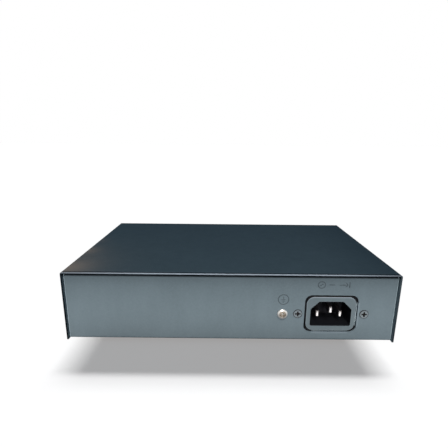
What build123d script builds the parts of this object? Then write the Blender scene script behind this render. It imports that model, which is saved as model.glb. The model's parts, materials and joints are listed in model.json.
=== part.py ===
from build123d import *
import os
from math import radians, tan

os.makedirs("parts", exist_ok=True)

# Desktop network switch with power over its ports, in millimetres.
# +Y is the rear panel with the mains inlet, -Y the front panel with the ports, Z = 0 is under the feet.

# Case, folded from steel sheet
case_width = 200.0
case_depth = 118.0
case_height = 44.0
sheet = 1.0
bend_inner = 0.5
panel_inset = 1.5
cover_gap = 0.3
side_gap = 0.25
return_width = 8.0
side_flange_height = 13.0
corner_relief = 1.0

# Feet, self-adhesive rubber
foot_height = 2.0
foot_dia = 12.0
foot_bottom_dia = 10.4
foot_edge = 0.4
foot_from_side = 13.0
foot_from_end = 13.0

# Vent slots in the cover's sides
vent_count = 14
vent_pitch = 5.0
vent_width = 2.4
vent_height = 18.0
vent_centre_above_floor = 24.0

# Countersunk screws that hold the cover
cover_screw_dia = 3.0
cover_screw_head = 5.0
cover_screw_length = 4.5
cover_screw_from_end = 21.0
cover_screw_above_bottom = 7.5
tapped_collar_dia = 5.2
tapped_collar_height = 1.0

# Clearances
thread_clearance = 0.05
head_clearance = 0.05
screw_hole_clearance = 0.4
press_clearance = 0.05
window_clearance = 0.3
seat_clearance = 0.1

# Wall keyholes in the floor
keyhole_spacing = 120.0
keyhole_head_dia = 8.0
keyhole_slot_width = 4.2
keyhole_slot_length = 7.0

# Mains inlet, moulded housing behind the rear panel
inlet_from_side = 39.5
inlet_above_bottom = 18.0
inlet_window_width = 32.0
inlet_window_height = 24.4
inlet_window_radius = 4.2
inlet_boss_gap = 0.5
inlet_boss_radius = 5.2
inlet_boss_edge = 0.7
inlet_boss_setback = 0.1
inlet_flange_width = 50.0
inlet_flange_height = 25.4
inlet_flange_thickness = 3.0
inlet_flange_radius = 5.0
inlet_body_width = 28.4
inlet_body_height = 20.0
inlet_body_radius = 2.0
inlet_body_depth = 20.0
inlet_screw_spacing = 40.0
inlet_screw_dia = 3.0
inlet_screw_head = 5.5
inlet_screw_rim = 0.3
inlet_screw_length = 9.0
inlet_flange_hole_dia = 3.7
socket_width = 24.6
socket_height = 16.0
socket_chamfer = 5.0
socket_depth = 16.0
socket_corner = 1.0
pin_width = 2.0
pin_height = 4.0
pin_spacing = 14.0
pin_drop = 2.0
pin_rise = 2.0
pin_tip_behind_face = 3.5
earth_tip_behind_face = 0.6
pin_tip_chamfer = 0.7
tab_width = 6.3
tab_thickness = 0.8
tab_length = 8.0
tab_hole_dia = 1.8
pin_clearance = 0.02

# Spade terminals on the inlet's tabs
spade_width = 8.6
spade_thickness = 3.8
spade_length = 15.0
spade_overlap = 7.0
spade_edge = 0.8

# Nuts
nut_across_flats = 5.5
nut_height = 2.4
ground_nut_across_flats = 5.5
ground_nut_height = 2.4

# Ground screw
ground_from_inlet = 29.3
ground_above_bottom = 17.9
ground_screw_dia = 3.0
ground_head_dia = 6.0
ground_head_height = 2.2
ground_rim_height = 0.9
ground_crown_at_middle = 0.77
ground_screw_length = 8.5
ground_washer_dia = 7.0
ground_washer_thickness = 0.5
ring_dia = 8.0
ring_thickness = 0.8
ring_barrel_dia = 4.2
ring_barrel_length = 6.0
ring_neck_width = 4.0
ring_neck_length = 8.0

# Cross recess in a screw head
recess_width_ratio = 0.16
recess_length_ratio = 0.62
recess_depth_ratio = 0.6

# Printed boards on standoffs
board_thickness = 1.6
standoff_height = 6.0
standoff_across_flats = 5.5
standoff_spigot_dia = 4.2
board_screw_dia = 3.0
board_screw_length = 6.0
board_screw_head = 5.6
board_screw_head_height = 2.0
board_screw_edge = 0.5

board_side_gap = 8.0
main_board_depth = 54.0
main_board_front_gap = 0.5
main_board_hole_from_side = 4.0
main_board_hole_from_rear = 4.0
main_board_hole_rows = 32.0

power_board_from_ground = 9.2
power_board_depth = 48.0
power_board_rear_gap = 3.0
power_board_hole_inset = 4.0
board_corner = 1.5

# Network sockets in banks, latch upwards
jack_pitch = 13.97
jack_height = 13.4
jack_depth = 16.0
jack_proud = 0.5
bank_margin = 0.8
port_bank_count = 8
bank_gap = 3.55
uplink_count = 2
uplink_from_side = 23.5
shield_sheet = 0.25
shield_clearance = 0.05
plug_width = 11.8
plug_height = 7.0
plug_floor = 1.6
latch_width = 6.4
latch_height = 1.6
key_width = 3.6
key_height = 1.4
plug_depth = 12.5
contact_count = 8
contact_pitch = 1.02
contact_width = 0.45
contact_thickness = 0.3
contact_groove_width = 8.8
contact_groove_drop = 0.6
contact_front = 2.9
contact_bend_lean = 0.4
contact_bend_rise = 0.9
contact_tip_rise = 4.6
contact_tip_depth = 10.3
contact_tail_from_back = 1.2

# Status lamps
lamp_columns = 6
lamp_pitch = 5.0
lamp_from_side = 14.0
lamp_dia = 3.0
lamp_flange_dia = 3.8
lamp_flange_thickness = 0.7
lamp_proud = 0.9
lamp_dome = 0.9
lamp_dome_side = 0.6
lamp_hole_clearance = 0.15
lamp_lower = 3.4
lamp_row_pitch = 5.0
lamp_holder_width = 4.4
lamp_holder_depth = 7.0
lamp_holder_height = 11.2
lamp_holder_gap = 0.3

# Parts on the main board
chip_size = 20.0
chip_height = 1.2
chip_corner = 1.5
chip_x = 20.0
chip_from_rear = 15.0
heatsink_size = 24.0
heatsink_base = 2.0
heatsink_height = 10.0
heatsink_fins = 8
heatsink_fin_thickness = 1.0
controller_size = 9.0
controller_height = 0.9
controller_xs = (-44.0, 52.0)
controller_from_rear = 14.0
magnetics_width = 14.0
magnetics_depth = 9.5
magnetics_height = 5.8
magnetics_edge = 0.5
magnetics_gap = 2.0
board_capacitor_dia = 6.3
board_capacitor_height = 7.7
board_capacitor_base = 6.6
board_capacitor_base_height = 0.9
board_capacitor_edge = 0.5
board_capacitor_xs = (-76.0, -66.0, -56.0)
board_capacitor_rows = (9.0, 19.0)
inductor_size = 10.0
inductor_height = 4.8
inductor_corner = 2.5
inductor_x = -30.0
inductor_from_rear = 13.0
crystal_length = 11.0
crystal_width = 4.6
crystal_height = 3.4
crystal_x = -14.0
crystal_from_rear = 24.0

# Power connectors and the leads between the boards
header_height = 11.0
header_edge = 0.6
header_socket_depth = 6.0
ac_header_width = 8.0
ac_header_depth = 14.0
ac_header_place = (7.0, 24.0)
ac_lead_pitch = 7.0
dc_header_width = 10.0
dc_header_depth = 8.0
dc_header_place = (101.0, 6.0)
dc_lead_pitch = 5.0
dc_header_from_rear = 6.0
lead_dia = 2.2
lead_bore_clearance = 0.1
line_lead_crest = 22.4
neutral_lead_crest = 27.9
dc_lead_crest = 21.4
# Turns of the mains leads, counted from the inlet: along the panel, into the case, up
line_lead_turns = ((7.0, 47.5, -2.0), (24.5, 49.5, 7.0))
line_lead_rise_from_rear = 44.5
neutral_lead_turns = ((-7.0, 49.5, -2.0), (16.5, 54.5, 9.0), (41.5, 43.5, 18.5))
earth_lead_turns = ((0.0, 45.5, 2.0), (2.0, 47.0, 16.0), (12.5, 29.5, 20.5))
earth_lead_crest = 21.0

# Power supply on its own board
insulator_thickness = 0.4
insulator_margin = 1.0
insulator_hole_clearance = 1.0
fuse_dia = 8.4
fuse_height = 7.8
fuse_edge = 0.6
fuse_place = (21.0, 6.0)
x_capacitor_size = (18.0, 8.5, 15.0)
x_capacitor_edge = 0.8
x_capacitor_place = (24.0, 40.0)
choke_mean_dia = 17.0
choke_core_width = 5.0
choke_core_height = 8.0
choke_winding_thickness = 1.3
choke_winding_arc = 130.0
choke_place = (26.0, 22.5)
bridge_width = 20.0
bridge_thickness = 3.6
bridge_height = 17.0
bridge_corner = 3.0
bridge_lift = 3.0
bridge_lead_width = 1.2
bridge_lead_count = 4
bridge_lead_pitch = 5.0
bridge_place = (48.0, 42.0)
bulk_capacitor_dia = 22.0
bulk_capacitor_height = 26.0
bulk_capacitor_place = (50.0, 14.0)
can_edge = 1.2
can_groove_depth = 0.7
can_groove_above_base = 3.2
sink_height = 26.0
sink_width = 34.0
sink_plate = 2.0
sink_fin_length = 4.0
sink_fin_thickness = 1.2
sink_fin_count = 5
primary_sink_place = (64.5, 20.0)
secondary_sink_place = (98.0, 28.0)
transistor_from_sink_centre = 12.0
diode_from_sink_centre = 0.0
device_width = 10.0
device_thickness = 4.4
device_height = 9.0
device_tab_height = 15.5
device_tab_thickness = 1.3
device_lift = 6.0
device_hole_dia = 3.6
device_lead_width = 0.9
device_lead_pitch = 2.54
device_lead_count = 3
transformer_height = 25.0
transformer_length = 30.0
transformer_depth = 10.0
transformer_yoke = 5.0
transformer_outer_leg = 5.0
transformer_centre_leg = 8.0
bobbin_clearance = 0.2
winding_bulge = 4.5
winding_corner = 3.0
transformer_place = (81.0, 28.0)
output_capacitor_dia = 10.0
output_capacitor_height = 20.0
output_capacitor_places = ((108.5, 34.0), (108.5, 22.5))

case_bottom = foot_height
case_top = case_bottom + case_height
floor_top = case_bottom + sheet
bend_outer = bend_inner + sheet
panel_y = case_depth / 2 - panel_inset
panel_inner_y = panel_y - sheet
tray_half_width = case_width / 2 - sheet - side_gap
tray_top = case_top - sheet - cover_gap
board_bottom = floor_top + standoff_height
board_top = board_bottom + board_thickness

# Places across the case, each counted from the side or the piece that it keeps to
inlet_x = -(case_width / 2 - inlet_from_side)
ground_x = inlet_x + ground_from_inlet
uplink_x = case_width / 2 - uplink_from_side
lamp_first_x = -(case_width / 2 - lamp_from_side)
main_board_width = case_width - 2 * board_side_gap
power_board_left = ground_x + power_board_from_ground
power_board_width = case_width / 2 - board_side_gap - power_board_left
power_board_x = power_board_left + power_board_width / 2

# Sketch planes on the two panels share the world's X and Z
rear_plane = Plane.XZ.offset(-panel_y)
front_plane = Plane.XZ.offset(panel_y)
inlet_z = case_bottom + inlet_above_bottom
ground_z = case_bottom + ground_above_bottom

cover_screw_z = case_bottom + cover_screw_above_bottom
cover_screw_y = case_depth / 2 - cover_screw_from_end
cover_screw_planes = [
    Plane(origin=(side * case_width / 2, end * cover_screw_y, cover_screw_z), z_dir=(side, 0, 0))
    for side in (-1, 1)
    for end in (-1, 1)
]
inlet_screw_xs = [inlet_x - inlet_screw_spacing / 2, inlet_x + inlet_screw_spacing / 2]
inlet_screw_planes = [Plane(origin=(x, panel_y, inlet_z), z_dir=(0, 1, 0)) for x in inlet_screw_xs]

main_board_front = -(panel_inner_y - main_board_front_gap)
main_board_y = main_board_front + main_board_depth / 2
main_board_rear = main_board_front + main_board_depth
main_hole_x = main_board_width / 2 - main_board_hole_from_side
main_hole_rear_y = main_board_rear - main_board_hole_from_rear
main_board_holes = [
    (x, y)
    for x in (-main_hole_x, 0, main_hole_x)
    for y in (main_hole_rear_y - main_board_hole_rows, main_hole_rear_y)
    if not (x == 0 and y < main_hole_rear_y)
]
power_board_y = panel_inner_y - power_board_rear_gap - power_board_depth / 2
power_hole_x = power_board_width / 2 - power_board_hole_inset
power_hole_y = power_board_depth / 2 - power_board_hole_inset
power_board_holes = [
    (power_board_x + sx * power_hole_x, power_board_y + sy * power_hole_y)
    for sx in (-1, 1)
    for sy in (-1, 1)
]
standoff_places = main_board_holes + power_board_holes

jack_face_y = -(panel_y + jack_proud)
lamp_xs = [lamp_first_x + lamp_pitch * n for n in range(lamp_columns)]
lamp_zs = [board_top + lamp_lower + lamp_row_pitch * n for n in (0, 1)]


def bank_width(count):
    return count * jack_pitch + 2 * bank_margin


port_bank_x = uplink_x - bank_gap - (bank_width(port_bank_count) + bank_width(uplink_count)) / 2


def jack_centres(centre_x, count):
    return [centre_x + jack_pitch * (n - (count - 1) / 2) for n in range(count)]


def cross_recess(head_dia, depth, top):
    """Cutter for a cross recess, with its upper face at Z = top."""
    arm = head_dia * recess_length_ratio
    with BuildPart() as cutter:
        with BuildSketch(Plane.XY.offset(top)):
            Rectangle(arm, head_dia * recess_width_ratio)
            Rectangle(head_dia * recess_width_ratio, arm)
        extrude(amount=-depth)
    return cutter.part


def countersunk_screw(shank_dia, head_dia, length, rim=0.0):
    """Screw along -Z whose head's flat face lies at Z = rim."""
    cone = (head_dia - shank_dia) / 2
    with BuildPart() as screw:
        with BuildSketch(Plane.XZ):
            with BuildLine():
                Polyline(
                    (0, rim),
                    (head_dia / 2, rim),
                    *([(head_dia / 2, 0)] if rim > 0 else []),
                    (shank_dia / 2, -cone),
                    (shank_dia / 2, -length),
                    (0, -length),
                    close=True,
                )
            make_face()
        revolve(axis=Axis.Z)
        add(cross_recess(head_dia, recess_depth_ratio * (cone + rim), rim), mode=Mode.SUBTRACT)
    return screw.part


def pan_screw(shank_dia, head_dia, head_height, length, edge):
    """Screw along -Z whose head stands on Z = 0, with a bevelled rim."""
    with BuildPart() as screw:
        with BuildSketch(Plane.XZ):
            with BuildLine():
                Polyline(
                    (0, head_height),
                    (head_dia / 2 - edge, head_height),
                    (head_dia / 2, head_height - edge),
                    (head_dia / 2, 0),
                    (shank_dia / 2, 0),
                    (shank_dia / 2, -length),
                    (0, -length),
                    close=True,
                )
            make_face()
        revolve(axis=Axis.Z)
    return screw.part


def hex_nut(across_flats, height, bore_dia):
    """Nut that stands on Z = 0."""
    with BuildPart() as nut:
        with BuildSketch(Plane.XY):
            RegularPolygon(across_flats / 2, 6, major_radius=False)
            Circle(bore_dia / 2, mode=Mode.SUBTRACT)
        extrude(amount=height)
    return nut.part


def lead_radii(points):
    """One arc for each corner, 0.45 of its shorter run over the tangent of half its turn."""
    corners = [Vector(*p) for p in points]
    radii = []
    for before, corner, after in zip(corners, corners[1:], corners[2:]):
        turn = (corner - before).get_angle(after - corner)
        shorter = min((corner - before).length, (after - corner).length)
        radii.append(0.45 * shorter / tan(radians(turn) / 2))
    return radii


def lead(points, dia):
    """Insulated wire: straight runs joined by tangent arcs."""
    start = Vector(*points[0])
    heading = Vector(*points[1]) - start
    with BuildPart() as wire:
        with BuildLine():
            FilletPolyline(*points, radius=lead_radii(points))
        with BuildSketch(Plane(origin=start, z_dir=heading)):
            Circle(dia / 2)
        sweep()
    return wire.part


# Base chassis: front wall, floor and rear wall with their top returns bent from one sheet
with BuildPart() as base_chassis:
    with BuildSketch(Plane.YZ):
        with BuildLine():
            FilletPolyline(
                (-(panel_y - return_width), tray_top),
                (-panel_y, tray_top),
                (-panel_y, case_bottom),
                (panel_y, case_bottom),
                (panel_y, tray_top),
                (panel_y - return_width, tray_top),
                radius=bend_outer,
            )
            offset(amount=sheet, side=Side.LEFT)
        make_face()
    extrude(amount=tray_half_width, both=True)
    # The floor is cut back beside the side flanges, which leaves a relief notch at each corner
    flange_half_length = panel_y - bend_outer - corner_relief
    with BuildSketch(Plane.XY.offset(case_bottom)):
        with Locations((tray_half_width, 0), (-tray_half_width, 0)):
            Rectangle(2 * bend_outer, 2 * (flange_half_length + corner_relief))
    extrude(amount=sheet, mode=Mode.SUBTRACT)
    for side in (-1, 1):
        with BuildSketch(Plane.XZ):
            with BuildLine():
                FilletPolyline(
                    (side * (tray_half_width - 2 * bend_outer), case_bottom),
                    (side * tray_half_width, case_bottom),
                    (side * tray_half_width, case_bottom + side_flange_height),
                    radius=bend_outer,
                )
                offset(amount=sheet, side=Side.LEFT if side > 0 else Side.RIGHT)
            make_face()
        extrude(amount=flange_half_length, both=True)
    # Tapped collars for the cover's screws
    for plane in cover_screw_planes:
        inward = plane.offset(-(sheet + side_gap + sheet))
        with BuildSketch(inward):
            Circle(tapped_collar_dia / 2)
        extrude(amount=-tapped_collar_height)
        with BuildSketch(plane):
            Circle(cover_screw_dia / 2)
        extrude(amount=-(sheet + side_gap + sheet + tapped_collar_height), mode=Mode.SUBTRACT)
    # Rear panel: inlet window, its screw holes and the ground screw's hole
    with BuildSketch(rear_plane):
        with Locations((inlet_x, inlet_z)):
            RectangleRounded(inlet_window_width, inlet_window_height, inlet_window_radius)
        with Locations((ground_x, ground_z)):
            Circle((ground_screw_dia + screw_hole_clearance) / 2)
    extrude(amount=sheet, mode=Mode.SUBTRACT)
    with Locations(*inlet_screw_planes):
        CounterSinkHole(
            (inlet_screw_dia + screw_hole_clearance) / 2,
            inlet_screw_head / 2 + head_clearance,
            depth=2 * sheet,
            counter_sink_angle=90,
        )
    # Front panel: a window for each bank of sockets and a hole for each lamp
    with BuildSketch(front_plane):
        for bank_x, count in ((port_bank_x, port_bank_count), (uplink_x, uplink_count)):
            with Locations((bank_x, board_top + jack_height / 2)):
                Rectangle(bank_width(count) + 2 * window_clearance, jack_height + 2 * window_clearance)
        with Locations(*[(x, z) for x in lamp_xs for z in lamp_zs]):
            Circle(lamp_dia / 2 + lamp_hole_clearance)
    extrude(amount=-sheet, mode=Mode.SUBTRACT)
    # Floor: standoff holes and the wall keyholes
    with BuildSketch(Plane.XY.offset(case_bottom)):
        with Locations(*standoff_places):
            Circle(standoff_spigot_dia / 2)
        with Locations((-keyhole_spacing / 2, 0), (keyhole_spacing / 2, 0)):
            Circle(keyhole_head_dia / 2)
        with Locations(
            (-keyhole_spacing / 2, -keyhole_slot_length / 2),
            (keyhole_spacing / 2, -keyhole_slot_length / 2),
        ):
            SlotCenterToCenter(keyhole_slot_length, keyhole_slot_width, rotation=90)
    extrude(amount=sheet, mode=Mode.SUBTRACT)
base_chassis.part.label = "base_chassis"
export_step(base_chassis.part, "parts/base_chassis.step")

# Top cover: an inverted U with vent slots and countersunk holes in its sides
with BuildPart() as top_cover:
    with BuildSketch(Plane.XZ):
        with BuildLine():
            FilletPolyline(
                (-case_width / 2, case_bottom),
                (-case_width / 2, case_top),
                (case_width / 2, case_top),
                (case_width / 2, case_bottom),
                radius=bend_outer,
            )
            offset(amount=sheet, side=Side.RIGHT)
        make_face()
    extrude(amount=case_depth / 2, both=True)
    with BuildSketch(Plane.YZ):
        with Locations((0, case_bottom + vent_centre_above_floor)):
            with GridLocations(vent_pitch, 1, vent_count, 1):
                SlotOverall(vent_height, vent_width, rotation=90)
    extrude(amount=case_width / 2, both=True, mode=Mode.SUBTRACT)
    with Locations(*cover_screw_planes):
        CounterSinkHole(
            cover_screw_dia / 2 + head_clearance,
            cover_screw_head / 2 + head_clearance,
            depth=2 * sheet,
            counter_sink_angle=90,
        )
top_cover.part.label = "top_cover"
export_step(top_cover.part, "parts/top_cover.step")

with BuildPart() as cover_screws:
    with Locations(*cover_screw_planes):
        add(
            countersunk_screw(
                cover_screw_dia - 2 * thread_clearance,
                cover_screw_head - 2 * thread_clearance,
                cover_screw_length,
            )
        )
cover_screws.part.label = "cover_screws"
export_step(cover_screws.part, "parts/cover_screws.step")

# Rubber feet: a short tapered button, its edge rounded where it stands
foot_x = case_width / 2 - foot_from_side
foot_y = case_depth / 2 - foot_from_end
foot_places = {
    "foot_front_left": (-foot_x, -foot_y),
    "foot_front_right": (foot_x, -foot_y),
    "foot_rear_left": (-foot_x, foot_y),
    "foot_rear_right": (foot_x, foot_y),
}
for foot_name, place in foot_places.items():
    with BuildPart() as foot:
        with BuildSketch(Plane.XY):
            with Locations(place):
                Circle(foot_bottom_dia / 2)
        with BuildSketch(Plane.XY.offset(foot_height)):
            with Locations(place):
                Circle(foot_dia / 2)
        loft()
        chamfer(foot.faces().sort_by(Axis.Z)[0].edges(), length=foot_edge)
    foot.part.label = foot_name
    export_step(foot.part, f"parts/{foot_name}.step")

# Mains inlet: flange, boss, body and a socket with its two keyed corners
inlet_face_y = panel_y - inlet_boss_setback
inlet_floor_y = inlet_face_y - socket_depth
inlet_back_y = inlet_face_y - inlet_body_depth
flange_back_y = panel_inner_y - inlet_flange_thickness
pin_places = {
    "inlet_line_pin": (inlet_x + pin_spacing / 2, inlet_z - pin_drop),
    "inlet_neutral_pin": (inlet_x - pin_spacing / 2, inlet_z - pin_drop),
    "inlet_earth_pin": (inlet_x, inlet_z + pin_rise),
}
with BuildPart() as inlet_housing:
    with BuildSketch(Plane.XZ.offset(-panel_inner_y)):
        with Locations((inlet_x, inlet_z)):
            RectangleRounded(inlet_flange_width, inlet_flange_height, inlet_flange_radius)
    extrude(amount=inlet_flange_thickness)
    with BuildSketch(Plane.XZ.offset(-panel_inner_y)):
        with Locations((inlet_x, inlet_z)):
            RectangleRounded(
                inlet_window_width - 2 * inlet_boss_gap,
                inlet_window_height - 2 * inlet_boss_gap,
                inlet_boss_radius,
            )
    extrude(amount=-(inlet_face_y - panel_inner_y))
    fillet(inlet_housing.faces().sort_by(Axis.Y)[-1].edges(), radius=inlet_boss_edge)
    with BuildSketch(Plane.XZ.offset(-flange_back_y)):
        with Locations((inlet_x, inlet_z)):
            RectangleRounded(inlet_body_width, inlet_body_height, inlet_body_radius)
    extrude(amount=flange_back_y - inlet_back_y)
    with BuildSketch(Plane.XZ.offset(-inlet_face_y)) as socket_outline:
        with Locations((inlet_x, inlet_z)):
            Rectangle(socket_width, socket_height)
        chamfer(socket_outline.vertices().group_by(Axis.Y)[-1], length=socket_chamfer)
        fillet(socket_outline.vertices().group_by(Axis.Y)[0], radius=socket_corner)
    extrude(amount=socket_depth, mode=Mode.SUBTRACT)
    with BuildSketch(Plane.XZ.offset(-inlet_floor_y)):
        with Locations(*pin_places.values()):
            Rectangle(pin_width + 2 * pin_clearance, pin_height + 2 * pin_clearance)
    extrude(amount=inlet_floor_y - inlet_back_y, mode=Mode.SUBTRACT)
    with BuildSketch(Plane.XZ.offset(-panel_inner_y)):
        with Locations(*[(x, inlet_z) for x in inlet_screw_xs]):
            Circle(inlet_flange_hole_dia / 2)
    extrude(amount=inlet_flange_thickness, mode=Mode.SUBTRACT)
inlet_housing.part.label = "inlet_housing"
export_step(inlet_housing.part, "parts/inlet_housing.step")

# Inlet pins: a flat blade with a chamfered tip in front, a drilled tab behind
for pin_name, (pin_x, pin_z) in pin_places.items():
    behind = earth_tip_behind_face if pin_name == "inlet_earth_pin" else pin_tip_behind_face
    tip_y = inlet_face_y - behind
    with BuildPart() as pin:
        with BuildSketch(Plane.XZ.offset(-tip_y)):
            with Locations((pin_x, pin_z)):
                Rectangle(pin_width, pin_height)
        extrude(amount=tip_y - inlet_back_y)
        chamfer(pin.faces().sort_by(Axis.Y)[-1].edges(), length=pin_tip_chamfer)
        with BuildSketch(Plane.XZ.offset(-inlet_back_y)):
            with Locations((pin_x, pin_z)):
                Rectangle(tab_thickness, tab_width)
        extrude(amount=tab_length)
        with BuildSketch(Plane.YZ.offset(pin_x)):
            with Locations((inlet_back_y - tab_length / 2, pin_z)):
                Circle(tab_hole_dia / 2)
        extrude(amount=tab_thickness, both=True, mode=Mode.SUBTRACT)
    pin.part.label = pin_name
    export_step(pin.part, f"parts/{pin_name}.step")

with BuildPart() as inlet_screws:
    with Locations(*inlet_screw_planes):
        add(
            countersunk_screw(
                inlet_screw_dia - 2 * thread_clearance,
                inlet_screw_head - 2 * thread_clearance,
                inlet_screw_length,
                rim=inlet_screw_rim,
            )
        )
inlet_screws.part.label = "inlet_screws"
export_step(inlet_screws.part, "parts/inlet_screws.step")

with BuildPart() as inlet_nuts:
    with Locations(*[Plane(origin=(x, flange_back_y, inlet_z), z_dir=(0, -1, 0)) for x in inlet_screw_xs]):
        add(hex_nut(nut_across_flats, nut_height, inlet_screw_dia))
inlet_nuts.part.label = "inlet_nuts"
export_step(inlet_nuts.part, "parts/inlet_nuts.step")

# Ground screw, its washer and nut, and the ring terminal of the earth lead
with BuildPart() as ground_screw:
    with BuildSketch(Plane.YZ.offset(ground_x)):
        with BuildLine():
            head_edge_y = panel_y + ground_rim_height
            head_top_y = panel_y + ground_head_height
            ground_axis_point = (panel_y - ground_screw_length, ground_z)
            Polyline(
                (head_edge_y, ground_z + ground_head_dia / 2),
                (panel_y, ground_z + ground_head_dia / 2),
                (panel_y, ground_z + ground_screw_dia / 2 - thread_clearance),
                (panel_y - ground_screw_length, ground_z + ground_screw_dia / 2 - thread_clearance),
                ground_axis_point,
                (head_top_y, ground_z),
            )
            ThreePointArc(
                (head_top_y, ground_z),
                (
                    head_edge_y + (head_top_y - head_edge_y) * ground_crown_at_middle,
                    ground_z + ground_head_dia / 4,
                ),
                (head_edge_y, ground_z + ground_head_dia / 2),
            )
        make_face()
    revolve(axis=Axis((ground_x, 0, ground_z), (0, 1, 0)))
    with Locations(Plane(origin=(ground_x, panel_y, ground_z), z_dir=(0, 1, 0))):
        add(
            cross_recess(ground_head_dia, recess_depth_ratio * ground_head_height, ground_head_height),
            mode=Mode.SUBTRACT,
        )
ground_screw.part.label = "ground_screw"
export_step(ground_screw.part, "parts/ground_screw.step")

ring_y = panel_inner_y
with BuildPart() as earth_ring_terminal:
    with BuildSketch(Plane.XZ.offset(-ring_y)):
        with Locations((ground_x, ground_z)):
            Circle(ring_dia / 2)
        with Locations((ground_x, ground_z + ring_neck_length / 2)):
            Rectangle(ring_neck_width, ring_neck_length)
        with Locations((ground_x, ground_z)):
            Circle(ground_screw_dia / 2, mode=Mode.SUBTRACT)
    extrude(amount=ring_thickness)
    barrel_z = ground_z + ring_neck_length - seat_clearance
    barrel_y = ring_y - ring_barrel_dia / 2
    with BuildSketch(Plane.XY.offset(barrel_z)):
        with Locations((ground_x, barrel_y)):
            Circle(ring_barrel_dia / 2)
    extrude(amount=ring_barrel_length)
    with BuildSketch(Plane.XY.offset(barrel_z + ring_barrel_length)):
        with Locations((ground_x, barrel_y)):
            Circle(lead_dia / 2 + lead_bore_clearance)
    extrude(amount=-ring_barrel_length / 2, mode=Mode.SUBTRACT)
earth_ring_terminal.part.label = "earth_ring_terminal"
export_step(earth_ring_terminal.part, "parts/earth_ring_terminal.step")

ground_inside_y = ring_y - ring_thickness
with BuildPart() as ground_washer:
    with BuildSketch(Plane.XZ.offset(-ground_inside_y)):
        with Locations((ground_x, ground_z)):
            Circle(ground_washer_dia / 2)
            Circle(ground_screw_dia / 2, mode=Mode.SUBTRACT)
    extrude(amount=ground_washer_thickness)
ground_washer.part.label = "ground_washer"
export_step(ground_washer.part, "parts/ground_washer.step")

with BuildPart() as ground_nut:
    nut_seat_y = ground_inside_y - ground_washer_thickness
    with Locations(Plane(origin=(ground_x, nut_seat_y, ground_z), z_dir=(0, -1, 0))):
        add(hex_nut(ground_nut_across_flats, ground_nut_height, ground_screw_dia))
ground_nut.part.label = "ground_nut"
export_step(ground_nut.part, "parts/ground_nut.step")

# Insulated spade terminals pushed over the inlet's tabs
spade_front_y = inlet_back_y - tab_length + spade_overlap
spade_back_y = spade_front_y - spade_length
with BuildPart() as spade_terminals:
    with BuildSketch(Plane.XZ.offset(-spade_front_y)):
        with Locations(*pin_places.values()):
            RectangleRounded(spade_thickness, spade_width, spade_edge)
    extrude(amount=spade_length)
    with BuildSketch(Plane.XZ.offset(-spade_front_y)):
        with Locations(*pin_places.values()):
            Rectangle(tab_thickness + 2 * seat_clearance, tab_width + 2 * seat_clearance)
    extrude(amount=spade_overlap + seat_clearance, mode=Mode.SUBTRACT)
    with BuildSketch(Plane.XZ.offset(-spade_back_y)):
        with Locations(*pin_places.values()):
            Circle(lead_dia / 2 + lead_bore_clearance)
    extrude(amount=-(spade_length - spade_overlap) / 2, mode=Mode.SUBTRACT)
spade_terminals.part.label = "spade_terminals"
export_step(spade_terminals.part, "parts/spade_terminals.step")

# Standoffs pressed into the floor, the two boards on them and their screws
with BuildPart() as board_standoffs:
    with BuildSketch(Plane.XY.offset(floor_top)):
        with Locations(*standoff_places):
            RegularPolygon(standoff_across_flats / 2, 6, major_radius=False)
    extrude(amount=standoff_height)
    with BuildSketch(Plane.XY.offset(floor_top)):
        with Locations(*standoff_places):
            Circle(standoff_spigot_dia / 2 - press_clearance)
    extrude(amount=-sheet)
    with BuildSketch(Plane.XY.offset(board_bottom)):
        with Locations(*standoff_places):
            Circle(board_screw_dia / 2)
    extrude(amount=-(standoff_height + sheet), mode=Mode.SUBTRACT)
board_standoffs.part.label = "board_standoffs"
export_step(board_standoffs.part, "parts/board_standoffs.step")

with BuildPart() as main_board:
    with BuildSketch(Plane.XY.offset(board_bottom)):
        with Locations((0, main_board_y)):
            RectangleRounded(main_board_width, main_board_depth, board_corner)
        with Locations(*main_board_holes):
            Circle((board_screw_dia + screw_hole_clearance) / 2, mode=Mode.SUBTRACT)
    extrude(amount=board_thickness)
main_board.part.label = "main_board"
export_step(main_board.part, "parts/main_board.step")

with BuildPart() as power_board:
    with BuildSketch(Plane.XY.offset(board_bottom)):
        with Locations((power_board_x, power_board_y)):
            RectangleRounded(power_board_width, power_board_depth, board_corner)
        with Locations(*power_board_holes):
            Circle((board_screw_dia + screw_hole_clearance) / 2, mode=Mode.SUBTRACT)
    extrude(amount=board_thickness)
power_board.part.label = "power_board"
export_step(power_board.part, "parts/power_board.step")

with BuildPart() as board_screws:
    with Locations(*[(x, y, board_top) for x, y in standoff_places]):
        add(
            pan_screw(
                board_screw_dia - 2 * thread_clearance,
                board_screw_head,
                board_screw_head_height,
                board_screw_length,
                board_screw_edge,
            )
        )
board_screws.part.label = "board_screws"
export_step(board_screws.part, "parts/board_screws.step")

with BuildPart() as insulation_sheet:
    with BuildSketch(Plane.XY.offset(floor_top)):
        with Locations((power_board_x, power_board_y)):
            Rectangle(power_board_width + 2 * insulator_margin, power_board_depth + 2 * insulator_margin)
        with Locations(*power_board_holes):
            Circle(standoff_across_flats / 2 + insulator_hole_clearance, mode=Mode.SUBTRACT)
    extrude(amount=insulator_thickness)
insulation_sheet.part.label = "insulation_sheet"
export_step(insulation_sheet.part, "parts/insulation_sheet.step")

# Banks of network sockets: the shell of each, its housing and its spring contacts
shell_inset = shield_sheet + shield_clearance
plug_floor_z = board_top + plug_floor
socket_front_y = jack_face_y + shell_inset
jack_back_y = jack_face_y + jack_depth


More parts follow.
